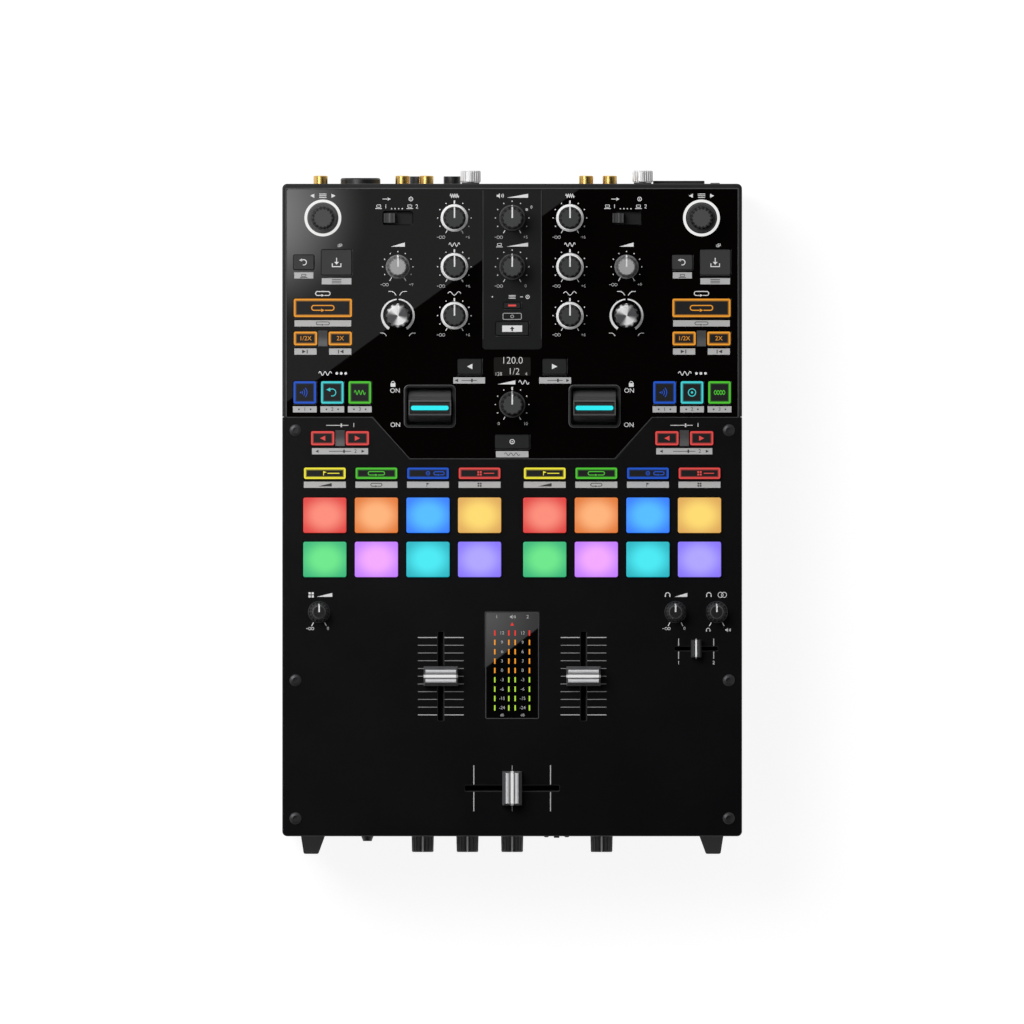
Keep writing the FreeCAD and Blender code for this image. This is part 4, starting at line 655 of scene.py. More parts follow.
for name in knobNames:
    kind = knobKind(name)
    side, top, skirt = knobCoats[kind]
    grip, others = knobParts(name)
    coat(name, spunSheenMaterial(name + "SpunSheen", grip["mid"]) if kind == "filter" else side)
    mesh = nodes[name].data
    corners = {i: mesh.polygons[i].vertices for i in grip["polys"]}
    heights = {i: sum(mesh.vertices[v].co.z for v in vs) / len(vs) / mm for i, vs in corners.items()}
    low, high = grip["low"].z, grip["high"].z
    skirtTop = low + knobCuts["browseSkirt" if kind == "browse" else "skirt"]
    if kind not in ("front", "filter"):
        face = faceMaterial(name + "Face", grip["mid"], knobFaces[kind]) if kind in knobFaces else top
        recoat(name, face, [i for i in facingUp(name, grip["polys"], 0.95)
                            if heights[i] > high - knobCuts["topBand"]])
        # the skirts of the level and browse knobs get that painted contact shadow
        if skirt == "knobSkirt":
            skirt = faceMaterial(name + "Skirt", grip["mid"], skirtContactShade)
        recoat(name, skirt, [i for i, z in heights.items() if z < skirtTop])
    if kind == "filter":
        recoat(name, "knobSide", [i for i, z in heights.items() if z < low + knobCuts["filterFoot"]])
    if kind != "browse":
        recoat(name, "printWhite", groovePolys(name, grip))
    if kind == "eq":
        collar = [island for island in others if tallness(island) < knobCuts["collarHeight"]]
        recoat(name, "collarMetal", [i for island in collar for i in island["polys"]])

# each fader cap is coloured by which way its faces look: slopes bright, steep flanks and low flat faces a
# darker copy of the silver, the ridge top silver: painted highlight and painted shade
for name in ("channel_fader_1", "channel_fader_2", "crossfader", "cue_fader"):
    coat(name, "cueCap" if name == "cue_fader" else "capShadedSilver")
    if name != "cue_fader":
        polys = nodes[name].data.polygons
        upward = facingUp(name, range(len(polys)))
        highest = boxOf(name)[1].z
        recoat(name, "capSlopeHighlight", facingUp(name, range(len(polys)), 0.68))
        recoat(name, "capShadedSilver", upward)
        recoat(name, "capSilver", [i for i in upward if polys[i].center.z / mm > highest - 0.1])

wellHalf, wellDepth = (11.8, 3.7), -1.4  # the recess round the light bar
for side in sides:
    name = f"effect_paddle_{side}"
    coat(name, "paddleMould")
    parts = islandsOf(name)
    light, body = min(parts, key=tallness), max(parts, key=tallness)
    spots = {i: nodes[name].data.polygons[i].center / mm - light["mid"] for i in body["polys"]}
    # the recess round the light bar is coloured near black: painted shade
    recoat(name, "paddleWellShade", [i for i, at in spots.items() if wellDepth < at.z < 0
                                and abs(at.x) < wellHalf[0] and abs(at.y) < wellHalf[1]])
    recoat(name, "paddleLight", light["polys"])
    lever = f"input_switch_{side}"
    coat(lever, "knobSkirt")
    mesh = nodes[lever].data
    ribs = facingUp(lever, range(len(mesh.polygons)))
    # the lever's up-facing ribs are painted lighter, and those in the middle lighter still: painted highlight
    recoat(lever, "windowEdge", ribs)
    middle = middleOf(lever).x
    recoat(lever, "capShadedSilver", [i for i in ribs if abs(mesh.polygons[i].center.x / mm - middle) < 0.5])
    coat(f"deck_keys_{side}", "keyFace")
    recoat(f"deck_keys_{side}", "keyPlain", [i for cap in deckKeys[side][0] for i in cap["polys"]])

bridge = {"rows": (2, 4), "reachY": 6, "fromX": 90, "proud": 0.3}  # dividers between the paired keys
bridgeRows = [deckKeys[1][row][0]["at"].y for row in bridge["rows"]]
bridges = [p.index for p in nodes["top_cover"].data.polygons
           if p.normal.z > 0.5 and p.center.z / mm > plateTop + bridge["proud"]
           and abs(p.center.x / mm) > bridge["fromX"]
           and min(abs(p.center.y / mm - y) for y in bridgeRows) < bridge["reachY"]]
# the raised dividers of the cover are painted lighter than the cover round them: painted highlight
recoat("top_cover", "dividerHighlight", bridges)
bezelRim = boxOf("paddle_bezels")[1].z - 0.6
rim = {p.index: p.normal.z for p in nodes["paddle_bezels"].data.polygons if p.center.z / mm > bezelRim}
# the flat top of the bezel rim is coloured darker and its sloped faces lighter: a painted highlight along the
# rim
recoat("paddle_bezels", "slideBlack", [i for i, up in rim.items() if up > 0.95])
recoat("paddle_bezels", "bezelEdgeHighlight", [i for i, up in rim.items() if 0.15 < up <= 0.95])
plateFaces = nodes["fader_plate"].data.polygons
# the sloped faces of the fader plate, its edges and slot flares, are painted lighter: painted highlight
recoat("fader_plate", "plateEdgeHighlight", [p.index for p in plateFaces if 0.3 < p.normal.z < 0.9])

coreWidth = 7.5  # only the shells of the phono jacks are wider
cores = [island for island in islandsOf("rca_jacks") if island["high"].x - island["low"].x < coreWidth]
split = sum(island["mid"].z for island in cores) / len(cores)
recoat("rca_jacks", "phonoWhite", [i for c in cores if c["mid"].z > split for i in c["polys"]])
recoat("rca_jacks", "phonoRed", [i for c in cores if c["mid"].z <= split for i in c["polys"]])

padColours = [  # middle and rim of each pad, rear row first
    [((249, 141, 121), (219, 60, 57)), ((253, 180, 123), (222, 119, 49)),
     ((80, 190, 255), (45, 123, 249)), ((253, 219, 110), (219, 166, 84))],
    [((107, 232, 136), (51, 179, 118)), ((243, 168, 255), (191, 122, 248)),
     ((67, 234, 244), (27, 177, 190)), ((175, 165, 253), (133, 114, 246))]]
for side in sides:
    coat(f"pads_{side}", "keyFace")
    padMesh = nodes[f"pads_{side}"].data
    for row, colours in zip(padKeys[side], padColours):
        for column, (cap, (middle, rim)) in enumerate(zip(row, colours), 1):
            label = f"pad{side}_{round(-cap['at'].y)}_{column}"
            shown = [i for i in cap["polys"] if padMesh.polygons[i].center.z / mm > plateTop - 1.5]
            recoat(f"pads_{side}", padMaterial(label, cap, srgb(*middle), srgb(*rim)), shown)
print("solids coated")


# flat marks: polygons collected into sheets, one mesh for each body

def newSheet():
    return {"verts": [], "faces": [], "inks": []}


def addPlate(sheet, points, z, ink, drop=0.0):
    # points are (x, y) in millimetres, counter-clockwise; drop gives the plate an edge
    first = len(sheet["verts"])
    count = len(points)
    sheet["verts"] += [(x * mm, y * mm, z * mm) for x, y in points]
    sheet["faces"].append(range(first, first + count))
    sheet["inks"].append(ink)
    if drop:
        sheet["verts"] += [(x * mm, y * mm, (z - drop) * mm) for x, y in points]
        for i in range(count):
            j = (i + 1) % count
            sheet["faces"].append((first + j, first + i, first + count + i, first + count + j))
            sheet["inks"].append(ink)


def addMarks(sheet, shapes, x, y, z, ink, drop=0.0):
    for shape in shapes:
        addPlate(sheet, [(x + px, y + py) for px, py in shape], z, ink, drop)


def finishSheet(sheet, name, body):
    inks = sorted(set(sheet["inks"]))
    mesh = bpy.data.meshes.new(name)
    mesh.from_pydata(sheet["verts"], [], sheet["faces"])
    for ink in inks:
        mesh.materials.append(finishes[ink])
    for poly, ink in zip(mesh.polygons, sheet["inks"]):
        poly.material_index = inks.index(ink)
    piece = bpy.data.objects.new(name, mesh)
    bpy.context.scene.collection.objects.link(piece)
    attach(piece, body)
    return piece


# small shapes about the origin, as lists of polygons in millimetres

def bar(w, h, x=0.0, y=0.0):
    return [[(x - w / 2, y - h / 2), (x + w / 2, y - h / 2), (x + w / 2, y + h / 2), (x - w / 2, y + h / 2)]]


def dot(radius, x=0.0, y=0.0, steps=14):
    return [[(x + radius * math.cos(i * math.tau / steps), y + radius * math.sin(i * math.tau / steps))
             for i in range(steps)]]


def arc(radius, width, start, end, x=0.0, y=0.0, endWidth=None, steps=40):
    # degrees clockwise from the rear; the width may grow towards the end
    shapes = []
    endWidth = width if endWidth is None else endWidth
    for i in range(steps):
        quad = []
        for j, outer in ((i, True), (i + 1, True), (i + 1, False), (i, False)):
            share = j / steps
            turn = math.radians(start + (end - start) * share)
            r = radius if outer else radius - (width + (endWidth - width) * share)
            quad.append((x + r * math.sin(turn), y + r * math.cos(turn)))
        shapes.append(quad if end < start else quad[::-1])
    return shapes


def stroke(points, width):
    # a ribbon with mitred corners, one quad for each run
    spots = [Vector(p) for p in points]
    runs = [(b - a).normalized() for a, b in zip(spots, spots[1:])]
    edges = []
    for spot, before, after in zip(spots, runs[:1] + runs, runs + runs[-1:]):
        mitre = Vector((-before.y - after.y, before.x + after.x)) / (1 + before.dot(after)) * width / 2
        edges.append((tuple(spot - mitre), tuple(spot + mitre)))
    return [[a[0], b[0], b[1], a[1]] for a, b in zip(edges, edges[1:])]


def arrow(size, way):
    # way is 1 for right, -1 for left
    corners = [(-way * size / 2, -size / 2), (way * size / 2, 0), (-way * size / 2, size / 2)]
    return [corners if way > 0 else corners[::-1]]


def tick(inner, outer, angle, width):
    turn = math.radians(angle)
    return stroke([(r * math.sin(turn), r * math.cos(turn)) for r in (inner, outer)], width)


def roundedRect(w, d, radius, steps=5):
    points = []
    for cx, cy, start in ((1, 1, 0), (-1, 1, 90), (-1, -1, 180), (1, -1, 270)):
        for i in range(steps + 1):
            turn = math.radians(start + 90 * i / steps)
            points.append((cx * (w / 2 - radius) + radius * math.cos(turn),
                           cy * (d / 2 - radius) + radius * math.sin(turn)))
    return points


def border(w, d, width, radius):
    # a rounded ring as a strip of quads
    outer = roundedRect(w, d, radius)
    inner = roundedRect(w - 2 * width, d - 2 * width, max(radius - width, 0.15))
    count = len(outer)
    return [[inner[i], outer[i], outer[(i + 1) % count], inner[(i + 1) % count]] for i in range(count)]


letterCache = {}


def digits(text, height, weight=0.0):
    # plain numerals and signs from the built-in font, centred on the origin
    if (text, weight) not in letterCache:
        curve = bpy.data.curves.new("numeral", "FONT")
        curve.body = text
        curve.align_x = "CENTER"
        curve.align_y = "CENTER"
        curve.size = 1.0
        curve.offset = weight
        holder = bpy.data.objects.new("numeral", curve)
        bpy.context.scene.collection.objects.link(holder)
        bpy.context.view_layer.update()
        mesh = bpy.data.meshes.new_from_object(holder.evaluated_get(bpy.context.evaluated_depsgraph_get()))
        shapes = [[(mesh.vertices[v].co.x, mesh.vertices[v].co.y) for v in p.vertices] for p in mesh.polygons]
        bpy.data.objects.remove(holder)
        bpy.data.meshes.remove(mesh)
        letterCache[text, weight] = shapes
    scale = height / 0.7  # capital height of the font
    return [[(x * scale, y * scale) for x, y in shape] for shape in letterCache[text, weight]]


def moved(shapes, x, y):
    return [[(px + x, py + y) for px, py in shape] for shape in shapes]


def endless(size, line=0.26):
    # the sign for no level at all
    r = size * 0.27
    return arc(r, line, 0, 360, -r, 0, steps=14) + arc(r, line, 0, 360, r, 0, steps=14)


def wave(width, height, cycles, line=0.42):
    points = [(width * (i / 36 - 0.5), height / 2 * math.sin(cycles * math.tau * i / 36)) for i in range(37)]
    return stroke(points, line)


def ramp(width, height):
    return [[(-width / 2, -height / 2), (width / 2, -height / 2), (width / 2, height / 2)]]


def slope(width, height, way, line=0.42):
    # a filter curve that falls away to one side
    pts = [(-width / 2, height / 2), (0, height / 2), (width * 0.25, height * 0.2), (width / 2, -height / 2)]
    return stroke([(way * x, y) for x, y in pts], line)


def listMark(width, height):
    return [s for i in (-1, 0, 1) for s in bar(width, height * 0.16, 0, i * height * 0.38)]


def screenMark(width, height, line=0.3):
    return border(width, height, line, 0.35) + bar(width * 1.5, line * 1.3, 0, -height * 0.85)


def loopMark(width, height, line=0.5):
    # a track that leaves room for its arrow in the near run
    corner = 6
    ring = roundedRect(width, height, height * 0.48, corner - 1)
    gap = height * 0.42
    track = [(gap, -height / 2)] + ring[-corner:] + ring[:-corner] + [(-gap, -height / 2)]
    return stroke(track, line) + moved(arrow(height * 0.7, 1), 0, -height / 2)


def padlock(size, line=0.35):
    return bar(size, size * 0.75, 0, -size * 0.3) + arc(size * 0.4, line, -90, 90, 0, size * 0.1, steps=10)


def headphones(size, line=0.45):
    cup = bar(size * 0.22, size * 0.42, 0, -size * 0.2)
    cups = moved(cup, -size * 0.45, 0) + moved(cup, size * 0.45, 0)
    return arc(size * 0.52, line, -95, 95, 0, 0, steps=14) + cups


def speaker(size, line=0.4):
    horn = [[(-size * 0.5, -size * 0.18), (-size * 0.22, -size * 0.18), (size * 0.08, -size * 0.48),
             (size * 0.08, size * 0.48), (-size * 0.22, size * 0.18), (-size * 0.5, size * 0.18)]]
    near = arc(size * 0.42, line, 50, 130, size * 0.08, 0, steps=8)
    return horn + near + arc(size * 0.7, line, 55, 125, size * 0.08, 0, steps=8)


def fourSquares(size):
    apart, side = size * 0.28, size * 0.4
    return [s for sx in (-1, 1) for sy in (-1, 1) for s in bar(side, side, sx * apart, sy * apart)]


def turnBack(size, line=0.45):
    head = moved(arrow(size * 0.5, -1), -size * 0.5, size * 0.36)
    return arc(size * 0.5, line, -60, 200, 0, 0, steps=20) + head


def loadMark(size, line=0.5):
    # an arrow down into a tray
    head = [[(-size * 0.28, size * 0.05), (0, -size * 0.28), (size * 0.28, size * 0.05)]]
    tray = stroke([(-size * 0.5, -size * 0.12), (-size * 0.5, -size * 0.5), (size * 0.5, -size * 0.5),
                   (size * 0.5, -size * 0.12)], line)
    return bar(line, size * 0.5, 0, size * 0.28) + head + tray


def slider(width, line=0.34):
    return bar(width, line) + bar(line * 2.4, line * 6, width * 0.18)


def flagMark(size, line=0.4):
    left = -size * 0.3
    return bar(line, size, left) + [[(left, 0), (size * 0.45, size * 0.25), (left, size * 0.5)]]


def soundArcs(size, line=0.42):
    return [s for i in (1, 2, 3) for s in arc(size * 0.3 * i, line, 45, 135, -size * 0.55, 0, steps=8)] + dot(
        size * 0.1, -size * 0.55)


def discMark(size, line=0.4):
    return arc(size * 0.5, line, 0, 360, steps=22) + dot(size * 0.14)


def powerMark(size, line=0.32):
    return arc(size * 0.48, line, 35, 325, steps=18) + bar(line, size * 0.5, 0, size * 0.3)


def mixMark(size, line=0.34):
    r = size * 0.38
    return arc(r, line, 0, 360, -r * 0.6, 0, steps=16) + arc(r, line, 0, 360, r * 0.6, 0, steps=16)


def copyMark(size, line=0.28):
    sheet = border(size, size * 0.8, line, 0.3)
    return sheet + moved(sheet, size * 0.5, size * 0.3)


# printed dials and labels on the panels

dial = {
    "dotRadius": 0.36, "dotCircle": 9.75, "tickInner": 8.3, "tickOuter": 10.2, "tickWidth": 0.42, "step": 30,
    "stop": 150, "pointerOuter": 10.2, "pointerWidth": 0.85, "figure": 1.75, "figureX": 7.8, "figureY": -11.2,
    "proud": 0.05,
}
trimDial = {**dial, "dotCircle": 8.85, "tickInner": 7.1, "tickOuter": 9.5, "figureX": 7.7, "figureY": -10.4}
labelY = 12.9  # of the sign over a knob
prints = newSheet()


def printMarks(shapes, at, dx=0.0, dy=0.0, ink="printWhite", lift=0.0):
    x, y = at.x + dx, at.y + dy
    addMarks(prints, shapes, x, y, surfaceAt(x, y) + dial["proud"] + lift, ink, dial["proud"] / 2)


def noLevel(size):
    # the low end of a scale: a minus and the endless sign
    return moved(endless(size), 0.6, 0) + bar(0.9, 0.3, -1.9, 0)


def printDial(name, low, high, pointerTick, d=dial):
    at = middleOf(name)
    for angle in range(-d["stop"] + d["step"], d["stop"], d["step"]):
        turn = math.radians(angle)
        if angle or not pointerTick:
            x, y = d["dotCircle"] * math.sin(turn), d["dotCircle"] * math.cos(turn)
            printMarks(dot(d["dotRadius"], x, y), at)
    if pointerTick:
        printMarks(tick(d["tickInner"], d["pointerOuter"], 0, d["pointerWidth"]), at)
    for angle in (-d["stop"], d["stop"]):
        printMarks(tick(d["tickInner"], d["tickOuter"], angle, d["tickWidth"]), at)
    for way, mark in ((-1, low), (1, high)):
        shapes = digits(mark, d["figure"]) if mark else noLevel(3.4)
        printMarks(shapes, at, way * d["figureX"], d["figureY"], "printGrey")
    return at


bands = (("high", 4, 5.0), ("mid", 2.5, 6.4), ("low", 1.5, 7.6))  # cycles and width of each wave sign
filterPrint = {"radius": 9.84, "thin": 0.75, "thick": 1.55, "gap": 4.0, "reach": 146.0, "labelX": 3.2,
               "foot": (8.4, -11.0)}
browsePrint = {"ring": 10.72, "ringWidth": 1.6, "arrowX": 6.2}
for side in sides:
    for band, cycles, width in bands:
        at = printDial(f"{band}_eq_knob_{side}", "", "+6", True)
        printMarks(wave(width, 2.1, cycles), at, 0, labelY)
    printMarks(ramp(8.2, 2.4), printDial(f"trim_knob_{side}", "", "+9", False, trimDial), 0, labelY)
    at, f = middleOf(f"filter_knob_{side}"), filterPrint
    for way in (-1, 1):
        printMarks(arc(f["radius"], f["thin"], way * f["gap"], way * f["reach"], endWidth=f["thick"]), at)
        printMarks(slope(4.4, 2.3, -way), at, way * f["labelX"], labelY)
        printMarks(slope(3.6, 1.7, -way, 0.34), at, way * f["foot"][0], f["foot"][1])
    at = middleOf(f"browse_knob_{side}")
    # the printed ring, made to glow: painted light
    printMarks(arc(browsePrint["ring"], browsePrint["ringWidth"], 0, 360, steps=72), at, ink="ringWhite")
    printMarks(listMark(4.2, 2.7), at, 0, labelY)
    for way in (-1, 1):
        printMarks(arrow(2.4, way), at, way * browsePrint["arrowX"], labelY)

levelPrint = {"markX": -7.4, "rampX": 3.0, "unityDot": (0.75, 8.45, 4.88), "unity": (11.2, 6.2)}
depthPrint = {"rampX": -3.4, "waveX": 6.8}
for name, mark, high in (("master", speaker(3.2), "+5"), ("booth", screenMark(2.6, 1.6), "0")):
    at = printDial(f"{name}_level_knob", "", high, False)
    printMarks(mark, at, levelPrint["markX"], labelY)
    printMarks(ramp(12.5, 2.3), at, levelPrint["rampX"], labelY)
printMarks(dot(*levelPrint["unityDot"]), middleOf("master_level_knob"))
printMarks(digits("0", 1.7), middleOf("master_level_knob"), *levelPrint["unity"])
at = printDial("effect_depth_knob", "0", "10", True)
printMarks(ramp(10.5, 2.3), at, depthPrint["rampX"], labelY)
printMarks(wave(6.0, 2.2, 2), at, depthPrint["waveX"], labelY)

smallDial = {"inner": 6.9, "outer": 9.2, "stop": 152, "tickWidth": 0.5, "figure": 1.7,
             "ends": (-5.2, 5.2, -9.6), "mixEnds": (-5.0, 6.2, -10.4), "markX": -4.6, "secondX": 3.2,
             "labelY": 10.0}
smallLabels = {"sampler_level_knob": (fourSquares(3.2), ramp(9.0, 2.3)),
               "headphone_level_knob": (headphones(2.9), ramp(7.4, 2.3)),
               "headphone_mix_knob": (headphones(2.9), mixMark(4.4))}
for name, (mark, second) in smallLabels.items():
    at, d = middleOf(name), smallDial
    for way in (-1, 1):
        printMarks(tick(d["inner"], d["outer"], way * d["stop"], d["tickWidth"]), at)
    printMarks(mark, at, d["markX"], d["labelY"])
    printMarks(second, at, d["secondX"], d["labelY"])
    low, high, (lowX, highX, y) = noLevel(3.2), digits("0", d["figure"]), d["ends"]
    if name == "headphone_mix_knob":
        low, high, (lowX, highX, y) = headphones(2.3, 0.36), speaker(2.5, 0.36), d["mixEnds"]
    printMarks(low, at, lowX, y)
    printMarks(high, at, highX, y)

# input switches: two sources each way, four dots between
selector = {"rowY": 6.6, "topY": 11.0, "dots": (-3.6, -1.55, 0.5, 2.55), "dotY": 5.4, "dotRadius": 0.38,
            "sources": ((-9.2, "1"), (8.9, "2")), "screen": (-1.9, 0.3), "figureX": 2.2, "plugX": -7.2,
            "discX": 7.6}
for side in sides:
    travel = next(j for j in frame["joints"] if j["child"] == f"input_switch_{side}")["range_m"]
    at, s = middleOf(f"input_switch_{side}") + Vector(((travel[0] + travel[1]) / 2 / mm, 0, 0)), selector
    for x in s["dots"]:
        printMarks(dot(s["dotRadius"], x, s["dotY"]), at)
    for x, figure in s["sources"]:
        printMarks(screenMark(2.6, 1.7), at, x + s["screen"][0], s["rowY"] + s["screen"][1])
        printMarks(digits(figure, 2.3), at, x + s["figureX"], s["rowY"])
    printMarks(bar(3.4, 0.4) + moved(arrow(1.8, 1), 2.2, 0), at, s["plugX"], s["topY"])
    printMarks(discMark(2.6), at, s["discX"], s["topY"])

# marks and grey label bars beside the keys
bars = {"height": 3.6, "proud": 0.04, "modeExtra": 0.2}
barPlaces = {  # how far below the key, and how wide
    "back": (7.6, 11.1), "load": (11.0, 17.2), "loop": (9.0, 32.9), "half": (7.6, 12.9),
    "effect": (9.8, 13.8), "parameter": (7.6, 32.6), "mode": (6.65, None), "arrow": (8.1, 18.5),
    "tap": (7.3, 18.9),
}
deckPrint = {"copy": (1.5, 9.6), "loopY": 8.4, "effectY": 11.1, "waveX": -4.2, "dotsX": (2.6, 5.2, 7.8),
             "pair": (-1.6, 7.5), "pairEnd": 13.4, "lock": (21.4, 13.2), "rearOn": (20.2, 9.0),
             "nearOn": (20.0, -10.9)}


def labelBar(kind, at, mark, dx=0.0, width=None):
    below, usual = barPlaces[kind]
    printMarks(bar(width or usual, bars["height"]), at, dx, -below, "printGrey")
    printMarks(mark, at, dx, -below, "printDark", bars["proud"])


for side in sides:
    out = -1 if side == 1 else 1
    (back, load), (loop,), halfRow, effectRow, parameterRow, modeRow = deckKeys[side]
    labelBar("back", back["at"], screenMark(2.8, 1.5, 0.32))
    labelBar("load", load["at"], listMark(5.5, 2.5))
    printMarks(copyMark(1.7), load["at"], *deckPrint["copy"])
    printMarks(loopMark(8.4, 2.3), loop["at"], 0, deckPrint["loopY"])
    labelBar("loop", loop["at"], loopMark(7.6, 1.7, 0.4))
    for key, way in zip(halfRow, (-1, 1)):
        labelBar("half", key["at"], moved(arrow(2.1, -way), way * 0.9, 0) + bar(0.5, 2.3, -way * 1.0, 0))
    printMarks(wave(7.5, 2.2, 2.5), effectRow[1]["at"], deckPrint["waveX"], deckPrint["effectY"])
    for x in deckPrint["dotsX"]:
        printMarks(dot(0.8), effectRow[1]["at"], x, deckPrint["effectY"])
    for key, figure in zip(effectRow, "123"):
        labelBar("effect", key["at"], digits(figure, 2.1) + dot(0.5, -3.4) + dot(0.5, 3.4))
    pair = (parameterRow[0]["at"] + parameterRow[1]["at"]) / 2
    ends = [shape for way in (-1, 1) for shape in moved(arrow(1.8, way), way * deckPrint["pairEnd"], 0)]
    printMarks(slider(13.0) + moved(digits("1", 2.4), 9.6, 0), pair, *deckPrint["pair"])
    labelBar("parameter", pair, slider(13.0) + moved(digits("2", 2.1), 9.0, 0) + ends)
    modeMarks = (ramp(8.0, 2.0), loopMark(6.5, 1.7, 0.4), flagMark(2.3, 0.34), fourSquares(2.4))
    for key, mark in zip(modeRow, modeMarks):
        labelBar("mode", key["at"], mark, width=key["w"] + bars["modeExtra"])
    onMark = digits("ON", 2.6)
    for place, shapes in (("lock", padlock(2.8)), ("rearOn", onMark), ("nearOn", onMark)):
        x, y = deckPrint[place]
        printMarks(shapes, middleOf(f"effect_paddle_{side}"), out * x, y)

# lines of light along the edges of keys and panels
edges = {"gap": 0.45, "width": 0.3, "rimWidth": 0.6, "rimInset": 0.15, "stripShort": 6, "keyRows": 4}
for side in sides:
    for row in deckKeys[side][:edges["keyRows"]] + (centreKeys if side == 1 else []):
        for key in row:
            beside, below = key["w"] / 2 + edges["gap"], -key["d"] / 2 - edges["gap"]
            printMarks(bar(edges["width"], key["d"], beside), key["at"], ink="edgeLine")
            printMarks(bar(key["w"], edges["width"], 0, below), key["at"], ink="edgeLine")


def addEdge(shapes, x, y, z):
    addMarks(prints, shapes, x, y, z + dial["proud"], "edgeLine", dial["proud"])


panelLow, panelHigh = boxOf("upper_panel")
rimTop = max(p.z for p in pointsOf("top_cover") if p.x > panelHigh.x and p.y > splitY)
reach = edges["rimInset"] + edges["rimWidth"] / 2
left, right, rear = panelLow.x - reach, panelHigh.x + reach, panelHigh.y + reach
stripNear, stripX = stripLow.y + edges["stripShort"], stripHigh.x - edges["width"]
stripLine = bar(edges["width"], stripHigh.y - stripNear)
for way in (-1, 1):
    addEdge(stripLine, way * stripX, (stripHigh.y + stripNear) / 2, stripHigh.z)
near, far = glossLow - edges["width"] / 2, splitY - edges["width"] / 2
notch = [(panelLow.x, far), (-farHalf, far), (-nearHalf, near), (nearHalf, near), (farHalf, far),
         (panelHigh.x, far)]
lip = [(right, splitY), (right, rear), (left, rear), (left, splitY)]
addEdge(stroke(notch, edges["width"]), 0, 0, max(plateTop, glossTop))
addEdge(stroke(lip, edges["rimWidth"]), 0, 0, rimTop)
print("labels drawn")

# keys in the middle: arrows, a press mark, a white patch and a small lamp
acrossKeys = sorted((key for row in centreKeys for key in row), key=lambda key: key["at"].x)
leftKey, *middleKeys, rightKey = acrossKeys
wakeKey, shiftKey, tapKey = sorted(middleKeys, key=lambda key: -key["at"].y)
wakePrint = {"frameY": -6.3, "rowY": 5.0}
centreMarks = newSheet()
markLift = 0.05


def onKey(sheet, shapes, key, ink, lift=markLift, drop=0.0):
    addMarks(sheet, shapes, key["at"].x, key["at"].y, key["top"] + lift, ink, drop)


for key, way in ((leftKey, -1), (rightKey, 1)):
    onKey(centreMarks, arrow(3.2, way), key, "printWhite")
    labelBar("arrow", key["at"], slider(9.0) + moved(arrow(1.9, way), way * 7.4, 0), way * 0.3)
onKey(centreMarks, discMark(3.0, 0.45), tapKey, "printWhite")
onKey(centreMarks, bar(11.6, 3.7), shiftKey, "printWhite")
upArrow = [[(-1.3, -0.2), (1.3, -0.2), (0, 1.3)]] + bar(0.9, 1.3, 0, -0.8)
onKey(centreMarks, upArrow, shiftKey, "printDark", 2 * markLift)
onKey(centreMarks, bar(4.6, 1.1), wakeKey, "litRed")
finishSheet(centreMarks, "centreKeyMarks", "centre_keys")
labelBar("tap", tapKey["at"], wave(9.0, 1.6, 3, 0.34))
wakeRow = dot(0.4, -11.5) + listMark(4.0, 2.2) + bar(1.6, 0.4, 5.5, 0) + moved(discMark(2.4), 9.0, 0)
printMarks(border(11.0, 3.9, 0.35, 0.8) + powerMark(2.2), wakeKey["at"], 0, wakePrint["frameY"], "printGrey")
printMarks(wakeRow, wakeKey["at"], 0, wakePrint["rowY"])

# white inlay along the ridge of each fader cap and down its sloped ends
inlay = {"width": 1.6, "cueShare": 0.6, "lift": 0.04, "capFrom": plateTop + 1.5}
for name in ("channel_fader_1", "channel_fader_2", "crossfader", "cue_fader"):
    axis = 0 if name.startswith("channel") else 1  # the way the cap is long
    top, at = boxOf(name)[1].z, middleOf(name)
    cap = [p for p in pointsOf(name) if p.z > inlay["capFrom"]]
    ridge = max(p[axis] - at[axis] for p in cap if p.z > top - 0.05)
    full = max(p[axis] - at[axis] for p in cap)
    foot = max(p.z for p in cap if p[axis] - at[axis] > full - 0.05)
    half = inlay["width"] / 2 * (inlay["cueShare"] if name == "cue_fader" else 1)
    sheet = newSheet()
    for reach, z in ((-full, foot), (-ridge, top), (ridge, top), (full, foot)):
        for across in (half, -half):
            spot = Vector((at.x, at.y, z + inlay["lift"]))
            spot[axis] += reach + math.copysign(inlay["lift"], reach)
            spot[1 - axis] += across
            sheet["verts"].append(spot * mm)
    for i in range(0, 6, 2):
        sheet["faces"].append((i, i + 1, i + 3, i + 2) if axis == 0 else (i, i + 2, i + 3, i + 1))
        sheet["inks"].append("capLine")
    finishSheet(sheet, f"{name}_line", name)

# fader scales
scale = {"inner": 2.15, "outer": 13.3, "pitch": 4.5, "marks": 11, "width": 0.36, "endWidth": 0.5}
crossScale = {"x": 22.3, "inner": 2.15, "outer": 13.4, "width": 0.55, "thin": 0.3, "figures": ""}
cueScale = {"x": 10.2, "inner": 1.65, "outer": 5.9, "width": 0.5, "thin": 0.5, "figures": "12",
            "figureY": -8.2}


def slotLines(at, offset, s, width, axis, ink="printGrey"):
    # a line on each side of a slot; axis is the way that the line runs
    length, middle = s["outer"] - s["inner"], (s["inner"] + s["outer"]) / 2
    for way in (-1, 1):
        if axis == 0:
            printMarks(bar(length, width), at, way * middle, offset, ink)
        else:
            printMarks(bar(width, length), at, offset, way * middle, ink)


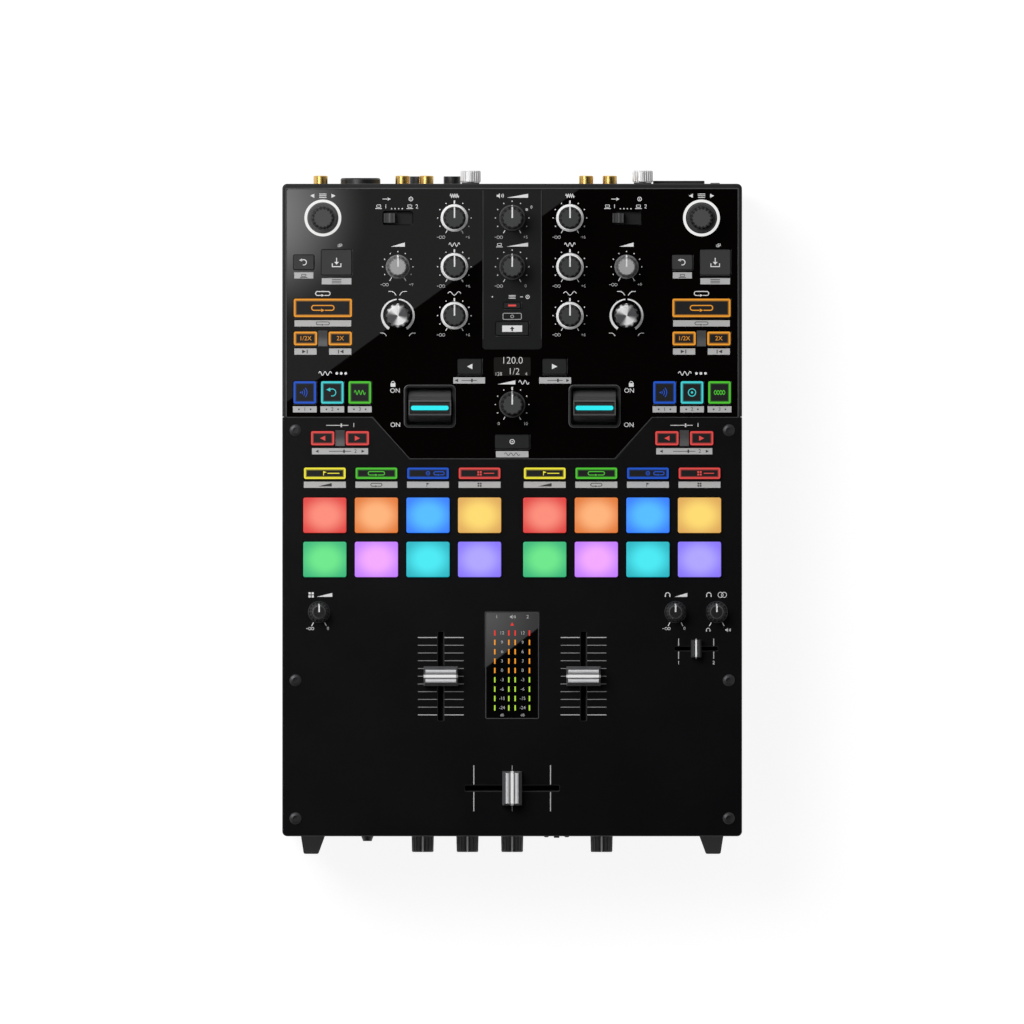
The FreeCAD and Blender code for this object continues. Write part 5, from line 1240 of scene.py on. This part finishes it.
for side in sides:
    at = middleOf(f"channel_fader_{side}")
    for i in range(scale["marks"]):
        width, ink = scale["width"], "printFaint"
        if i in (0, scale["marks"] - 1):
            width, ink = scale["endWidth"], "printGrey"
        slotLines(at, (i - (scale["marks"] - 1) / 2) * scale["pitch"], scale, width, 0, ink)
for name, s in (("crossfader", crossScale), ("cue_fader", cueScale)):
    at = middleOf(name)
    for way in (-1, 0, 1):
        slotLines(at, way * s["x"], s, s["width" if way else "thin"], 1)
    for way, figure in zip((-1, 1), s["figures"]):
        printMarks(digits(figure, 2.0), at, way * s["x"], s["figureY"])
finishSheet(prints, "panelPrint", "case")

# lit keys: a glowing frame round each dark face, with a mark of the same colour
litKeys = {"width": 1.0, "radius": 1.0, "drop": 0.35, "glow": 0.55, "glowRadius": 0.3}
effectMarks = {1: (soundArcs(4.4), turnBack(4.6, 0.5), wave(6.4, 2.4, 3)),
               2: (soundArcs(4.4), discMark(4.8, 0.5), wave(6.4, 2.4, 2) + wave(6.4, 2.4, -2))}
modeKeyMarks = (flagMark(2.5) + moved(bar(7.0, 0.5), 5.0, 0), loopMark(9.5, 2.0),
                discMark(2.5) + moved(loopMark(6.0, 1.8), 6.4, 0),
                fourSquares(2.6) + moved(bar(6.0, 0.5), 5.5, 0))
for side in sides:
    sheet = newSheet()
    (back, load), (loop,), halfRow, effectRow, parameterRow, modeRow = deckKeys[side]
    onKey(sheet, turnBack(3.6, 0.5), back, "printWhite")
    onKey(sheet, loadMark(5.0, 0.55), load, "printWhite")
    lamps = [(loop, "litOrange", loopMark(13.0, 2.8, 0.6))]
    lamps += zip(halfRow, ("litOrange",) * 2, (digits("1/2X", 2.5), digits("2X", 2.5)))
    lamps += zip(effectRow, ("litBlue", "litCyan", "litGreen"), effectMarks[side])
    lamps += zip(parameterRow, ("litRed",) * 2, (arrow(3.0, -1), arrow(3.0, 1)))
    lamps += zip(modeRow, ("litYellow", "litGreen", "litBlue", "litRed"), modeKeyMarks)
    for key, ink, mark in lamps:
        w, d = key["w"] - 2 * litKeys["width"], key["d"] - 2 * litKeys["width"]
        ring = border(key["w"], key["d"], litKeys["width"], litKeys["radius"])
        onKey(sheet, ring, key, ink, drop=litKeys["drop"])
        onKey(sheet, border(w, d, litKeys["glow"], litKeys["glowRadius"]), key, ink + "Dim")
        onKey(sheet, mark, key, ink)
    finishSheet(sheet, f"keyLamps_{side}", f"deck_keys_{side}")

# level meter: four columns of lamps with their figures
meter = {"columns": (-10.1, -1.95, 1.75, 10.05), "pitch": 5.44, "lamp": (0.8, 3.1), "topRow": 18.9,
         "figures": ("12", "9", "6", "3", "0", "-3", "-6", "-15", "-24"), "figureX": (-5.9, 6.1),
         "height": 1.85, "headY": 28.3, "headX": 9.0, "peakY": 24.1, "unitY": -28.86, "unit": 1.5,
         "edge": 0.55, "corner": 1.0, "rowInks": ("meterRed",) + ("meterOrange",) * 4 + ("meterGreen",) * 4}
figureLift = 0.04
sheet = newSheet()
glass, meterAt = boxOf("level_meter")[1], middleOf("level_meter")


def onGlass(shapes, x, y, ink="printGrey", lift=figureLift):
    addMarks(sheet, shapes, meterAt.x + x, meterAt.y + y, glass.z + lift, ink)


for row, (figure, ink) in enumerate(zip(meter["figures"], meter["rowInks"])):
    y = meter["topRow"] - row * meter["pitch"]
    for x in meter["columns"]:
        onGlass(bar(*meter["lamp"]), x, y, ink)
    for x in meter["figureX"]:
        onGlass(digits(figure, meter["height"]), x, y)
for way, figure in ((-1, "1"), (1, "2")):
    onGlass(digits(figure, 2.0), way * meter["headX"], meter["headY"])
for x in meter["figureX"]:
    onGlass(digits("dB", meter["unit"]), x, meter["unitY"])
onGlass(speaker(2.6, 0.34), 0, meter["headY"])
onGlass([[(-1.0, -0.9), (1.0, -0.9), (0, 1.0)]], 0, meter["peakY"], "meterRed")
paneLow, paneHigh = spanOf([p for p in pointsOf("level_meter") if p.z > glass.z - 0.05])
pane = border(paneHigh.x - paneLow.x, paneHigh.y - paneLow.y, meter["edge"], meter["corner"])
onGlass(pane, 0, 0, "windowEdge", figureLift - 0.01)
finishSheet(sheet, "meterLamps", "case")

# display figures
figures = (("120.0", 0.0, 3.4, 4.0), ("1/2", 1.0, -3.0, 3.8), ("128", -8.0, -4.4, 2.0), ("4", 8.2, -4.4, 1.9))
sheet = newSheet()
at, top = middleOf("display_module"), boxOf("display_module")[1].z
for shown, x, y, height in figures:
    addMarks(sheet, digits(shown, height, -0.012), at.x + x, at.y + y, top + figureLift, "displayWhite")
finishSheet(sheet, "displayFigures", "case")

# white pointers along the front knobs
pointer = {"width": 0.95, "lift": 0.03, "short": 1.6, "shift": -0.4}
for name in (n for n in knobNames if n.startswith("front")):
    sheet = newSheet()
    grip = knobParts(name)[0]
    strip = bar(pointer["width"], grip["high"].y - grip["low"].y - pointer["short"])
    addMarks(sheet, strip, grip["mid"].x, grip["mid"].y + pointer["shift"], grip["high"].z + pointer["lift"],
             "printWhite", pointer["lift"])
    finishSheet(sheet, f"{name}_pointer", name)
print("lamps and figures placed")
